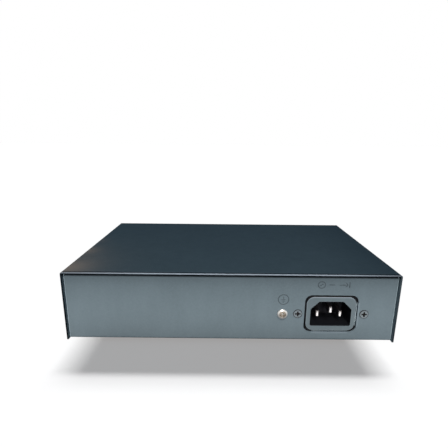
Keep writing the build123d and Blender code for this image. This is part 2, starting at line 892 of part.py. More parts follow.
def plug_mouth(grow=0.0):
    """Stepped mouth of one socket, standing on the origin: the plug, its latch and the latch's key."""
    plug_side = plug_width / 2 + grow
    latch_side = latch_width / 2 + grow
    key_side = key_width / 2 + grow
    plug_top = plug_height + grow
    latch_top = plug_top + latch_height
    key_top = latch_top + key_height
    with BuildSketch() as mouth:
        with BuildLine():
            Polyline(
                (plug_side, -grow),
                (plug_side, plug_top),
                (latch_side, plug_top),
                (latch_side, latch_top),
                (key_side, latch_top),
                (key_side, key_top),
                (-key_side, key_top),
                (-key_side, latch_top),
                (-latch_side, latch_top),
                (-latch_side, plug_top),
                (-plug_side, plug_top),
                (-plug_side, -grow),
                close=True,
            )
        make_face()
    return mouth.sketch


def jack_shield(centre_x, count):
    width = bank_width(count)
    with BuildPart() as shield:
        with BuildSketch(Plane.XY.offset(board_top)):
            with Locations((centre_x, jack_face_y + jack_depth / 2)):
                Rectangle(width, jack_depth)
        extrude(amount=jack_height)
        with BuildSketch(Plane.XY.offset(board_top)):
            with Locations((centre_x, jack_face_y + jack_depth / 2)):
                Rectangle(width - 2 * shield_sheet, jack_depth - 2 * shield_sheet)
        extrude(amount=jack_height - shield_sheet, mode=Mode.SUBTRACT)
        with BuildSketch(Plane.XZ.offset(-jack_face_y)):
            with Locations(*[(x, plug_floor_z) for x in jack_centres(centre_x, count)]):
                add(plug_mouth(shield_clearance))
        extrude(amount=-2 * shield_sheet, mode=Mode.SUBTRACT)
    return shield.part


def jack_housing(centre_x, count):
    xs = jack_centres(centre_x, count)
    body_depth = jack_depth - 2 * shell_inset
    with BuildPart() as housing:
        with BuildSketch(Plane.XY.offset(board_top)):
            with Locations((centre_x, jack_face_y + jack_depth / 2)):
                Rectangle(bank_width(count) - 2 * shell_inset, body_depth)
        extrude(amount=jack_height - shell_inset)
        with BuildSketch(Plane.XZ.offset(-socket_front_y)):
            with Locations(*[(x, plug_floor_z) for x in xs]):
                add(plug_mouth())
        extrude(amount=-plug_depth, mode=Mode.SUBTRACT)
        # A channel in each floor carries the contacts, and a slot at the back lets their tails down
        with BuildSketch(Plane.XY.offset(plug_floor_z)):
            with Locations(*[(x, jack_face_y + (contact_front + jack_depth) / 2) for x in xs]):
                Rectangle(contact_groove_width, jack_depth - contact_front)
        extrude(amount=-contact_groove_drop, mode=Mode.SUBTRACT)
        with BuildSketch(Plane.XY.offset(plug_floor_z)):
            with Locations(*[(x, jack_back_y - contact_tail_from_back / 2) for x in xs]):
                Rectangle(contact_groove_width, contact_tail_from_back + 2 * contact_thickness)
        extrude(amount=-plug_floor, mode=Mode.SUBTRACT)
    return housing.part


def jack_contacts(centre_x, count):
    """Spring wires: a tail on the board, a run along the channel, a hairpin and a sloping tip."""
    channel_z = plug_floor_z - contact_groove_drop
    tail_y = jack_back_y - contact_tail_from_back
    hairpin_y = jack_face_y + contact_front + contact_bend_lean
    wire_xs = [
        x + contact_pitch * (n - (contact_count - 1) / 2)
        for x in jack_centres(centre_x, count)
        for n in range(contact_count)
    ]
    with BuildPart() as contacts:
        with BuildSketch(*[Plane.YZ.offset(x - contact_width / 2) for x in wire_xs]):
            with BuildLine():
                Polyline(
                    (tail_y, board_top),
                    (tail_y, channel_z),
                    (hairpin_y, channel_z),
                    (hairpin_y - contact_bend_lean, channel_z + contact_bend_rise),
                    (jack_face_y + contact_tip_depth, board_top + contact_tip_rise),
                )
                offset(amount=contact_thickness, side=Side.RIGHT, kind=Kind.INTERSECTION)
            make_face()
        extrude(amount=contact_width)
    return contacts.part


port_bank_shield = jack_shield(port_bank_x, port_bank_count)
port_bank_shield.label = "port_bank_shield"
export_step(port_bank_shield, "parts/port_bank_shield.step")

port_bank_housing = jack_housing(port_bank_x, port_bank_count)
port_bank_housing.label = "port_bank_housing"
export_step(port_bank_housing, "parts/port_bank_housing.step")

port_bank_contacts = jack_contacts(port_bank_x, port_bank_count)
port_bank_contacts.label = "port_bank_contacts"
export_step(port_bank_contacts, "parts/port_bank_contacts.step")

uplink_shield = jack_shield(uplink_x, uplink_count)
uplink_shield.label = "uplink_shield"
export_step(uplink_shield, "parts/uplink_shield.step")

uplink_housing = jack_housing(uplink_x, uplink_count)
uplink_housing.label = "uplink_housing"
export_step(uplink_housing, "parts/uplink_housing.step")

uplink_contacts = jack_contacts(uplink_x, uplink_count)
uplink_contacts.label = "uplink_contacts"
export_step(uplink_contacts, "parts/uplink_contacts.step")

# Status lamps in two rows, each pair held by a block on the board
lamp_block_front_y = -panel_inner_y + lamp_holder_gap + lamp_flange_thickness
with BuildPart() as lamp_holders:
    with BuildSketch(Plane.XY.offset(board_top)):
        with Locations(*[(x, lamp_block_front_y + lamp_holder_depth / 2) for x in lamp_xs]):
            Rectangle(lamp_holder_width, lamp_holder_depth)
    extrude(amount=lamp_holder_height)
lamp_holders.part.label = "lamp_holders"
export_step(lamp_holders.part, "parts/lamp_holders.step")

with BuildPart() as status_lamp:
    with BuildSketch(Plane.XY):
        Circle(lamp_flange_dia / 2)
    extrude(amount=lamp_flange_thickness)
    with BuildSketch(Plane.XY):
        Circle(lamp_dia / 2)
    extrude(amount=lamp_block_front_y + panel_y + lamp_proud)
    chamfer(status_lamp.faces().sort_by(Axis.Z)[-1].edges(), length=lamp_dome, length2=lamp_dome_side)
with BuildPart() as status_lamps:
    with Locations(
        *[Plane(origin=(x, lamp_block_front_y, z), z_dir=(0, -1, 0)) for x in lamp_xs for z in lamp_zs]
    ):
        add(status_lamp.part)
status_lamps.part.label = "status_lamps"
export_step(status_lamps.part, "parts/status_lamps.step")

# Chips and other parts on the main board
chip_y = main_board_rear - chip_from_rear
with BuildPart() as switch_chip:
    with BuildSketch(Plane.XY.offset(board_top)):
        with Locations((chip_x, chip_y)):
            Rectangle(chip_size, chip_size)
    extrude(amount=chip_height)
    chamfer(switch_chip.edges().filter_by(Axis.Z).sort_by(Axis.X).group_by(Axis.X)[0], length=chip_corner)
switch_chip.part.label = "switch_chip"
export_step(switch_chip.part, "parts/switch_chip.step")

heatsink_z = board_top + chip_height
with BuildPart() as chip_heatsink:
    with BuildSketch(Plane.XY.offset(heatsink_z)):
        with Locations((chip_x, chip_y)):
            Rectangle(heatsink_size, heatsink_size)
    extrude(amount=heatsink_base)
    with BuildSketch(Plane.XY.offset(heatsink_z + heatsink_base)):
        fin_pitch = (heatsink_size - heatsink_fin_thickness) / (heatsink_fins - 1)
        with Locations((chip_x, chip_y)):
            with GridLocations(fin_pitch, 1, heatsink_fins, 1):
                Rectangle(heatsink_fin_thickness, heatsink_size)
    extrude(amount=heatsink_height - heatsink_base)
chip_heatsink.part.label = "chip_heatsink"
export_step(chip_heatsink.part, "parts/chip_heatsink.step")

with BuildPart() as power_controllers:
    with BuildSketch(Plane.XY.offset(board_top)):
        with Locations(*[(x, main_board_rear - controller_from_rear) for x in controller_xs]):
            Rectangle(controller_size, controller_size)
    extrude(amount=controller_height)
power_controllers.part.label = "power_controllers"
export_step(power_controllers.part, "parts/power_controllers.step")

magnetics_y = jack_back_y + magnetics_gap + magnetics_depth / 2
magnetics_xs = [
    sum(pair) / 2
    for centres in (jack_centres(port_bank_x, port_bank_count), jack_centres(uplink_x, uplink_count))
    for pair in zip(centres[::2], centres[1::2])
]
with BuildPart() as network_magnetics:
    with BuildSketch(Plane.XY.offset(board_top)):
        with Locations(*[(x, magnetics_y) for x in magnetics_xs]):
            Rectangle(magnetics_width, magnetics_depth)
    extrude(amount=magnetics_height)
    chamfer(network_magnetics.faces().group_by(Axis.Z)[-1].edges(), length=magnetics_edge)
network_magnetics.part.label = "network_magnetics"
export_step(network_magnetics.part, "parts/network_magnetics.step")

capacitor_places = [(x, main_board_rear - from_rear) for x in board_capacitor_xs for from_rear in board_capacitor_rows]
with BuildPart() as board_capacitors:
    with BuildSketch(Plane.XY.offset(board_top)):
        with Locations(*capacitor_places):
            Rectangle(board_capacitor_base, board_capacitor_base)
    extrude(amount=board_capacitor_base_height)
    with BuildSketch(Plane.XY.offset(board_top + board_capacitor_base_height)):
        with Locations(*capacitor_places):
            Circle(board_capacitor_dia / 2)
    extrude(amount=board_capacitor_height - board_capacitor_base_height)
    chamfer(board_capacitors.faces().group_by(Axis.Z)[-1].edges(), length=board_capacitor_edge)
board_capacitors.part.label = "board_capacitors"
export_step(board_capacitors.part, "parts/board_capacitors.step")

with BuildPart() as buck_inductor:
    with BuildSketch(Plane.XY.offset(board_top)):
        with Locations((inductor_x, main_board_rear - inductor_from_rear)):
            RectangleRounded(inductor_size, inductor_size, inductor_corner)
    extrude(amount=inductor_height)
buck_inductor.part.label = "buck_inductor"
export_step(buck_inductor.part, "parts/buck_inductor.step")

with BuildPart() as crystal:
    with BuildSketch(Plane.XY.offset(board_top)):
        with Locations((crystal_x, main_board_rear - crystal_from_rear)):
            SlotOverall(crystal_length, crystal_width)
    extrude(amount=crystal_height)
crystal.part.label = "crystal"
export_step(crystal.part, "parts/crystal.step")


def lead_header(centre, size, lead_places):
    """Moulded header on a board, with a bore from above for each lead."""
    with BuildPart() as header:
        with BuildSketch(Plane.XY.offset(board_top)):
            with Locations(centre):
                Rectangle(*size)
        extrude(amount=header_height)
        chamfer(header.faces().sort_by(Axis.Z)[-1].edges(), length=header_edge)
        with BuildSketch(Plane.XY.offset(board_top + header_height)):
            with Locations(*lead_places):
                Circle(lead_dia / 2 + lead_bore_clearance)
        extrude(amount=-header_socket_depth, mode=Mode.SUBTRACT)
    return header.part


def on_power_board(place):
    """World X and Y of a place counted from the power board's left front corner."""
    front = power_board_y - power_board_depth / 2
    return (power_board_left + place[0], front + place[1])


# Headers for the leads
ac_x, ac_y = on_power_board(ac_header_place)
ac_lead_ys = (ac_y - ac_lead_pitch / 2, ac_y + ac_lead_pitch / 2)
ac_header = lead_header((ac_x, ac_y), (ac_header_width, ac_header_depth), [(ac_x, y) for y in ac_lead_ys])
ac_header.label = "ac_header"
export_step(ac_header, "parts/ac_header.step")

dc_x, dc_out_y = on_power_board(dc_header_place)
dc_in_y = main_board_rear - dc_header_from_rear
dc_lead_xs = (dc_x - dc_lead_pitch / 2, dc_x + dc_lead_pitch / 2)
dc_header_size = (dc_header_width, dc_header_depth)
dc_output_header = lead_header((dc_x, dc_out_y), dc_header_size, [(x, dc_out_y) for x in dc_lead_xs])
dc_output_header.label = "dc_output_header"
export_step(dc_output_header, "parts/dc_output_header.step")

dc_input_header = lead_header((dc_x, dc_in_y), dc_header_size, [(x, dc_in_y) for x in dc_lead_xs])
dc_input_header.label = "dc_input_header"
export_step(dc_input_header, "parts/dc_input_header.step")

# Mains filter: fuse, capacitor across the mains and a choke wound on a ring
with BuildPart() as fuse:
    with BuildSketch(Plane.XY.offset(board_top)):
        with Locations(on_power_board(fuse_place)):
            Circle(fuse_dia / 2)
    extrude(amount=fuse_height)
    chamfer(fuse.faces().sort_by(Axis.Z)[-1].edges(), length=fuse_edge)
fuse.part.label = "fuse"
export_step(fuse.part, "parts/fuse.step")

with BuildPart() as x_capacitor:
    with BuildSketch(Plane.XY.offset(board_top)):
        with Locations(on_power_board(x_capacitor_place)):
            RectangleRounded(x_capacitor_size[0], x_capacitor_size[1], x_capacitor_edge)
    extrude(amount=x_capacitor_size[2])
    chamfer(x_capacitor.faces().sort_by(Axis.Z)[-1].edges(), length=x_capacitor_edge / 2)
x_capacitor.part.label = "x_capacitor"
export_step(x_capacitor.part, "parts/x_capacitor.step")

choke_x, choke_y = on_power_board(choke_place)
choke_section_z = board_top + choke_winding_thickness + choke_core_height / 2
choke_centre = Vector(choke_x, choke_y, choke_section_z)
choke_axis = Axis((choke_x, choke_y, 0), (0, 0, 1))


def choke_section(angle):
    """Upright plane through the choke's axis, its X pointing out at this angle."""
    outwards = Vector(1, 0, 0).rotate(Axis.Z, angle)
    return Plane(origin=choke_centre, x_dir=outwards, z_dir=outwards.cross(Vector(0, 0, 1)))


with BuildPart() as emi_choke_core:
    with BuildSketch(choke_section(0)):
        with Locations((choke_mean_dia / 2, 0)):
            Rectangle(choke_core_width, choke_core_height)
    revolve(axis=choke_axis)
emi_choke_core.part.label = "emi_choke_core"
export_step(emi_choke_core.part, "parts/emi_choke_core.step")

with BuildPart() as emi_choke_windings:
    for start_angle in (90 - choke_winding_arc / 2, 270 - choke_winding_arc / 2):
        with BuildSketch(choke_section(start_angle)):
            with Locations((choke_mean_dia / 2, 0)):
                Rectangle(
                    choke_core_width + 2 * choke_winding_thickness,
                    choke_core_height + 2 * choke_winding_thickness,
                )
                Rectangle(choke_core_width, choke_core_height, mode=Mode.SUBTRACT)
        revolve(axis=choke_axis, revolution_arc=choke_winding_arc)
emi_choke_windings.part.label = "emi_choke_windings"
export_step(emi_choke_windings.part, "parts/emi_choke_windings.step")

# Rectifier and the electrolytic cans
bridge_x, bridge_y = on_power_board(bridge_place)
with BuildPart() as bridge_rectifier:
    with BuildSketch(Plane.XZ.offset(-(bridge_y + bridge_thickness / 2))) as bridge_outline:
        with Locations((bridge_x, board_top + bridge_lift + bridge_height / 2)):
            Rectangle(bridge_width, bridge_height)
        chamfer(bridge_outline.vertices().group_by(Axis.Y)[-1].sort_by(Axis.X)[0], length=bridge_corner)
    extrude(amount=bridge_thickness)
    with BuildSketch(Plane.XY.offset(board_top)):
        with Locations((bridge_x, bridge_y)):
            with GridLocations(bridge_lead_pitch, 1, bridge_lead_count, 1):
                Rectangle(bridge_lead_width, bridge_lead_width / 2)
    extrude(amount=bridge_lift)
bridge_rectifier.part.label = "bridge_rectifier"
export_step(bridge_rectifier.part, "parts/bridge_rectifier.step")


def electrolytic(place, dia, height):
    """Can with a crimped groove above its base and a rounded top edge."""
    radius = dia / 2
    with BuildPart() as can:
        with BuildSketch(Plane.XZ):
            with BuildLine():
                Polyline(
                    (0, 0),
                    (radius, 0),
                    (radius, can_groove_above_base - can_groove_depth),
                    (radius - can_groove_depth, can_groove_above_base),
                    (radius, can_groove_above_base + can_groove_depth),
                    (radius, height - can_edge),
                    (radius - can_edge, height),
                    (0, height),
                    close=True,
                )
            make_face()
        revolve(axis=Axis.Z)
    x, y = on_power_board(place)
    return Pos(x, y, board_top) * can.part


bulk_capacitor = electrolytic(bulk_capacitor_place, bulk_capacitor_dia, bulk_capacitor_height)
bulk_capacitor.label = "bulk_capacitor"
export_step(bulk_capacitor, "parts/bulk_capacitor.step")

with BuildPart() as output_capacitors:
    for place in output_capacitor_places:
        add(electrolytic(place, output_capacitor_dia, output_capacitor_height))
output_capacitors.part.label = "output_capacitors"
export_step(output_capacitors.part, "parts/output_capacitors.step")


def heatsink(place):
    """Extruded plate across the board with fins on its right-hand side."""
    x, y = on_power_board(place)
    fin_pitch = (sink_width - sink_fin_thickness) / (sink_fin_count - 1)
    with BuildPart() as sink:
        with BuildSketch(Plane.XY.offset(board_top)):
            with Locations((x, y)):
                Rectangle(sink_plate, sink_width)
            with Locations((x + (sink_plate + sink_fin_length) / 2, y)):
                with GridLocations(1, fin_pitch, 1, sink_fin_count):
                    Rectangle(sink_fin_length, sink_fin_thickness)
        extrude(amount=sink_height)
    return sink.part


def power_device(sink_place, from_sink_centre):
    """Transistor-outline package whose metal tab lies on the left-hand side of a heatsink."""
    x, y = on_power_board(sink_place)
    face_x = x - sink_plate / 2
    centre_y = y + from_sink_centre
    base_z = board_top + device_lift
    with BuildPart() as device:
        with BuildSketch(Plane.YZ.offset(face_x)):
            with Locations((centre_y, base_z + device_tab_height / 2)):
                Rectangle(device_width, device_tab_height)
            with Locations((centre_y, base_z + (device_height + device_tab_height) / 2)):
                Circle(device_hole_dia / 2, mode=Mode.SUBTRACT)
        extrude(amount=-device_tab_thickness)
        with BuildSketch(Plane.YZ.offset(face_x)):
            with Locations((centre_y, base_z + device_height / 2)):
                Rectangle(device_width, device_height)
        extrude(amount=-device_thickness)
        with BuildSketch(Plane.XY.offset(board_top)):
            with Locations((face_x - device_thickness / 2, centre_y)):
                with GridLocations(1, device_lead_pitch, 1, device_lead_count):
                    Rectangle(device_lead_width / 2, device_lead_width)
        extrude(amount=device_lift)
    return device.part


primary_heatsink = heatsink(primary_sink_place)
primary_heatsink.label = "primary_heatsink"
export_step(primary_heatsink, "parts/primary_heatsink.step")

switching_transistor = power_device(primary_sink_place, transistor_from_sink_centre)
switching_transistor.label = "switching_transistor"
export_step(switching_transistor, "parts/switching_transistor.step")

secondary_heatsink = heatsink(secondary_sink_place)
secondary_heatsink.label = "secondary_heatsink"
export_step(secondary_heatsink, "parts/secondary_heatsink.step")

output_diode = power_device(secondary_sink_place, diode_from_sink_centre)
output_diode.label = "output_diode"
export_step(output_diode, "parts/output_diode.step")

# Transformer: a ferrite core with two windows, and the wound bobbin round its centre leg
transformer_x, transformer_y = on_power_board(transformer_place)
window_width = (transformer_length - 2 * transformer_outer_leg - transformer_centre_leg) / 2
window_height = transformer_height - 2 * transformer_yoke
window_offset = (transformer_centre_leg + window_width) / 2
transformer_middle_z = board_top + transformer_height / 2
with BuildPart() as transformer_core:
    with BuildSketch(Plane.YZ.offset(transformer_x)):
        with Locations((transformer_y, transformer_middle_z)):
            Rectangle(transformer_length, transformer_height)
        with Locations(
            (transformer_y - window_offset, transformer_middle_z),
            (transformer_y + window_offset, transformer_middle_z),
        ):
            Rectangle(window_width, window_height, mode=Mode.SUBTRACT)
    extrude(amount=transformer_depth / 2, both=True)
transformer_core.part.label = "transformer_core"
export_step(transformer_core.part, "parts/transformer_core.step")

with BuildPart() as transformer_winding:
    winding_bottom = board_top + transformer_yoke + bobbin_clearance
    with BuildSketch(Plane.XY.offset(winding_bottom)):
        with Locations((transformer_x, transformer_y)):
            RectangleRounded(
                transformer_depth + 2 * winding_bulge,
                transformer_centre_leg + 2 * (window_width - bobbin_clearance),
                winding_corner,
            )
            Rectangle(
                transformer_depth + 2 * bobbin_clearance,
                transformer_centre_leg + 2 * bobbin_clearance,
                mode=Mode.SUBTRACT,
            )
    extrude(amount=window_height - 2 * bobbin_clearance)
transformer_winding.part.label = "transformer_winding"
export_step(transformer_winding.part, "parts/transformer_winding.step")

# Mains leads from the spade terminals over the gap to the header on the power board
line_x, mains_z = pin_places["inlet_line_pin"]
neutral_x = pin_places["inlet_neutral_pin"][0]
earth_z = pin_places["inlet_earth_pin"][1]
spade_seat_y = spade_back_y + (spade_length - spade_overlap) / 2
header_seat_z = board_top + header_height - header_socket_depth


def from_inlet(turn):
    """Place of a lead's turn, counted from the inlet's middle on the rear panel."""
    along, inward, up = turn
    return (inlet_x + along, panel_y - inward, inlet_z + up)


line_crest_z = board_top + line_lead_crest
line_lead = lead(
    [
        (line_x, spade_seat_y, mains_z),
        *[from_inlet(turn) for turn in line_lead_turns],
        (ac_x, panel_y - line_lead_rise_from_rear, line_crest_z),
        (ac_x, ac_lead_ys[0], line_crest_z),
        (ac_x, ac_lead_ys[0], header_seat_z),
    ],
    lead_dia,
)
line_lead.label = "line_lead"
export_step(line_lead, "parts/line_lead.step")

neutral_crest_z = board_top + neutral_lead_crest
neutral_lead = lead(
    [
        (neutral_x, spade_seat_y, mains_z),
        *[from_inlet(turn) for turn in neutral_lead_turns],
        (ac_x, ac_lead_ys[1], neutral_crest_z),
        (ac_x, ac_lead_ys[1], header_seat_z),
    ],
    lead_dia,
)
neutral_lead.label = "neutral_lead"
export_step(neutral_lead, "parts/neutral_lead.step")

barrel_seat_z = barrel_z + ring_barrel_length / 2
earth_lead = lead(
    [
        (inlet_x, spade_seat_y, earth_z),
        *[from_inlet(turn) for turn in earth_lead_turns],
        (ground_x, barrel_y, inlet_z + earth_lead_crest),
        (ground_x, barrel_y, barrel_seat_z),
    ],
    lead_dia,
)
earth_lead.label = "earth_lead"
export_step(earth_lead, "parts/earth_lead.step")

# Leads that feed the main board
dc_crest_z = board_top + dc_lead_crest
for lead_name, lead_x in zip(("dc_negative_lead", "dc_positive_lead"), dc_lead_xs):
    dc_lead = lead(
        [
            (lead_x, dc_out_y, header_seat_z),
            (lead_x, dc_out_y, dc_crest_z),
            (lead_x, dc_in_y, dc_crest_z),
            (lead_x, dc_in_y, header_seat_z),
        ],
        lead_dia,
    )
    dc_lead.label = lead_name
    export_step(dc_lead, f"parts/{lead_name}.step")
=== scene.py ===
import json
import math

import bmesh
import bpy
import numpy as np
from mathutils import Matrix, Vector

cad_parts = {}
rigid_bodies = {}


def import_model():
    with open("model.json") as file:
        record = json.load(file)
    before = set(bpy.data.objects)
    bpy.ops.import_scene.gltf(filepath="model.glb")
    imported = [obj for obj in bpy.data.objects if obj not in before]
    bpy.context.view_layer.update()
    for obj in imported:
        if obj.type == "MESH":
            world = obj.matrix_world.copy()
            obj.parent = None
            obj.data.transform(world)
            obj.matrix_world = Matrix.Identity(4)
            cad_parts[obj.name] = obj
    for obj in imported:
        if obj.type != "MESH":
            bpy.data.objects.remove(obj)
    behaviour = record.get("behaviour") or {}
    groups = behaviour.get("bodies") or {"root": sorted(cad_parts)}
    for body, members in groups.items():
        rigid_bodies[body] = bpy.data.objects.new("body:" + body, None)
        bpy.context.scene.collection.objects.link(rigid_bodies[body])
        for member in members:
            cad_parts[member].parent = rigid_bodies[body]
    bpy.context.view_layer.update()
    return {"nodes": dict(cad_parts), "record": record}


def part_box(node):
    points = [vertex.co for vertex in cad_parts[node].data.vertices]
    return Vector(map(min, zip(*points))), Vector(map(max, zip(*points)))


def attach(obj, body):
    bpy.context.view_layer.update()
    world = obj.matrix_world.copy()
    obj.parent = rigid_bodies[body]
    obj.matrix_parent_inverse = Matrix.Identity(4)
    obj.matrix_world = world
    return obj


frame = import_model()
nodes = frame["nodes"]
scene = bpy.context.scene
scene.view_settings.view_transform = "Standard"
mm = 0.001
black = (0.0, 0.0, 0.0, 1.0)

# Camera: 185 mm from the rear panel and 122 mm above the floor, looking 14 degrees down
camera = {
    "place": (0.004483, 0.242678, 0.121954),
    "turn": 0.0003,
    "down": 0.2462,
    "roll": 0.0097,
    "lens": 27.18,
    "sensor": 36.0,
    "nearest": 0.005,
}


def makeCamera(look):
    turn, down, roll = look["turn"], look["down"], look["roll"]
    ahead = Vector((math.sin(turn) * math.cos(down), -math.cos(turn) * math.cos(down), -math.sin(down)))
    level = ahead.cross(Vector((0, 0, 1))).normalized()
    upright = level.cross(ahead)
    right = level * math.cos(roll) + upright * math.sin(roll)
    up = upright * math.cos(roll) - level * math.sin(roll)
    data = bpy.data.cameras.new("camera")
    data.lens = look["lens"]
    data.sensor_width = look["sensor"]
    data.clip_start = look["nearest"]
    piece = bpy.data.objects.new("camera", data)
    axes = Matrix((right, up, -ahead)).transposed().to_4x4()
    piece.matrix_world = Matrix.Translation(look["place"]) @ axes
    scene.collection.objects.link(piece)
    scene.camera = piece


makeCamera(camera)
print("camera set")


# Small helpers for colours and material trees
def tone(red, green, blue):
    # screen colour 0-255 to the linear value a shader takes
    parts = [c / 255 for c in (red, green, blue)]
    return tuple(c / 12.92 if c <= 0.04045 else ((c + 0.055) / 1.055) ** 2.4 for c in parts) + (1.0,)


def shade(colour, factor):
    return tuple(min(1.0, c * factor) for c in colour[:3]) + (1.0,)


def node(tree, kind, inputs=None, **settings):
    made = tree.nodes.new(kind)
    for key, value in settings.items():
        setattr(made, key, value)
    for key, value in (inputs or {}).items():
        if isinstance(value, bpy.types.NodeSocket):
            tree.links.new(value, made.inputs[key])
        else:
            made.inputs[key].default_value = value
    return made


def math2(tree, operation, a, b=0.0):
    return node(tree, "ShaderNodeMath", {0: a, 1: b}, operation=operation).outputs[0]


def absolute(tree, value):
    return math2(tree, "ABSOLUTE", value)


def product(tree, first, *others):
    for other in others:
        first = math2(tree, "MULTIPLY", first, other)
    return first


def weighted(tree, *pairs):
    # sum of value x weight over the pairs (value, weight)
    total = 0.0
    for value, weight in pairs:
        total = math2(tree, "ADD", math2(tree, "MULTIPLY", value, weight), total)
    return total


def length(tree, a, b):
    return math2(tree, "SQRT", math2(tree, "ADD", product(tree, a, a), product(tree, b, b)))


def over(tree, value, limit):
    # 1 where the value is greater than a limit in millimetres
    return math2(tree, "GREATER_THAN", value, limit * mm)


def under(tree, value, limit):
    # 1 where the value is less than a limit in millimetres
    return math2(tree, "LESS_THAN", value, limit * mm)


def spread(tree, value, low, high, fromLow=0.3, fromHigh=0.7):
    made = node(tree, "ShaderNodeMapRange", {0: value, 1: fromLow, 2: fromHigh, 3: low, 4: high})
    return made.outputs[0]


def slope(tree, value, low, high, start, end):
    # low to high while the value goes from start to end, both in millimetres
    return spread(tree, value, low, high, start * mm, end * mm)


def mixColour(tree, share, a, b):
    return node(tree, "ShaderNodeMix", {0: share, 6: a, 7: b}, data_type="RGBA").outputs[2]


def noiseOf(tree, where, grain, detail=2.0, rough=0.5):
    # grain is the size of one blotch in millimetres
    made = node(tree, "ShaderNodeTexNoise", {"Vector": where, "Scale": 1 / (grain * mm),
                                             "Detail": detail, "Roughness": rough})
    return made.outputs[0]


def split(tree, vector):
    return node(tree, "ShaderNodeSeparateXYZ", {0: vector}).outputs


def normalParts(tree):
    return split(tree, node(tree, "ShaderNodeNewGeometry").outputs["Normal"])


def fromMiddle(tree, where, name):
    # X and Z from the middle of a node's box, and Y as it is
    low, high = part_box(name)
    x, y, z = split(tree, where)
    across = math2(tree, "SUBTRACT", x, (low[0] + high[0]) / 2)
    above = math2(tree, "SUBTRACT", z, (low[2] + high[2]) / 2)
    return across, y, above


def seenRays(tree):
    # 1 for rays from the camera, in reflections and through clear parts
    rays = node(tree, "ShaderNodeLightPath").outputs
    mirrored = math2(tree, "MAXIMUM", rays["Is Glossy Ray"], rays["Is Transmission Ray"])
    return math2(tree, "MAXIMUM", rays["Is Camera Ray"], mirrored)


def freshMaterial(name):
    material = bpy.data.materials.new(name)
    material.use_nodes = True
    tree = material.node_tree
    shader = tree.nodes["Principled BSDF"]
    where = node(tree, "ShaderNodeTexCoord").outputs["Object"]
    return material, tree, shader, where


shaderSockets = {
    "colour": "Base Color",
    "rough": "Roughness",
    "metal": "Metallic",
    "specular": "Specular IOR Level",
    "through": "Transmission Weight",
    "bending": "IOR",
}


def dress(tree, shader, **looks):
    for key, value in looks.items():
        socket = shader.inputs[shaderSockets[key]]
        if isinstance(value, bpy.types.NodeSocket):
            tree.links.new(value, socket)
        else:
            socket.default_value = value


def bumpInto(tree, shader, height, depth, strength=1.0):
    # depth is the relief in millimetres
    bump = node(tree, "ShaderNodeBump", {"Height": height, "Distance": depth * mm, "Strength": strength})
    tree.links.new(bump.outputs[0], shader.inputs["Normal"])


# What an even finish has unless its own line says otherwise; blotch, grain and relief are in millimetres
plainFinish = {
    "blotch": 9.0,
    "blotchDetail": 3.0,
    "blotchShare": 0.6,
    "grain": 0.5,
    "grainDetail": 4.0,
    "grainRough": 0.6,
    "grainShare": 0.4,
    "tint": 0.12,
    "rough": 0.5,
    "roughSpread": 0.06,
    "metal": 0.0,
    "specular": 0.5,
    "relief": 0.02,
    "strength": 0.6,
    "stretch": None,
}


def finish(name, own):
    # Even finish with a blotchy tint, a grain in its gloss and a fine relief
    look = {**plainFinish, **own}
    base, tint, rough, wander = look["base"], look["tint"], look["rough"], look["roughSpread"]
    material, tree, shader, where = freshMaterial(name)
    if look["stretch"]:
        where = node(tree, "ShaderNodeMapping", {"Vector": where, "Scale": look["stretch"]}).outputs[0]
    blotch = noiseOf(tree, where, look["blotch"], look["blotchDetail"])
    grain = noiseOf(tree, where, look["grain"], look["grainDetail"], look["grainRough"])
    mottle = weighted(tree, (blotch, look["blotchShare"]), (grain, look["grainShare"]))
    colour = mixColour(tree, spread(tree, mottle, 0.0, 1.0), shade(base, 1 - tint), shade(base, 1 + tint))
    dress(tree, shader, colour=colour, rough=spread(tree, grain, rough - wander, rough + wander),
          metal=look["metal"], specular=look["specular"])
    bumpInto(tree, shader, grain, look["relief"], look["strength"])
    return material


# Gap round the inlet: its half width and half height, and the walls that are painted lighter, where light
# from above left would reach them
inletGap = {
    "halfWide": 16.0,
    "halfHigh": 12.2,
    "reach": 0.9,
    "underHalf": 11.0,
    "besideLow": -8.4,
    "besideHigh": 7.6,
}


def gapLight(tree, where, look):
    # 1 on the lower and right walls of the gap, where light is painted, and 0 elsewhere
    across, _, above = fromMiddle(tree, where, "inlet_housing")
    offX = absolute(tree, math2(tree, "ADD", across, look["halfWide"] * mm))
    offZ = absolute(tree, math2(tree, "ADD", above, look["halfHigh"] * mm))
    below = product(tree, under(tree, offZ, look["reach"]),
                    under(tree, absolute(tree, across), look["underHalf"]))
    beside = product(tree, over(tree, above, look["besideLow"]), under(tree, above, look["besideHigh"]),
                     under(tree, offX, look["reach"]))
    return math2(tree, "MAXIMUM", below, beside)
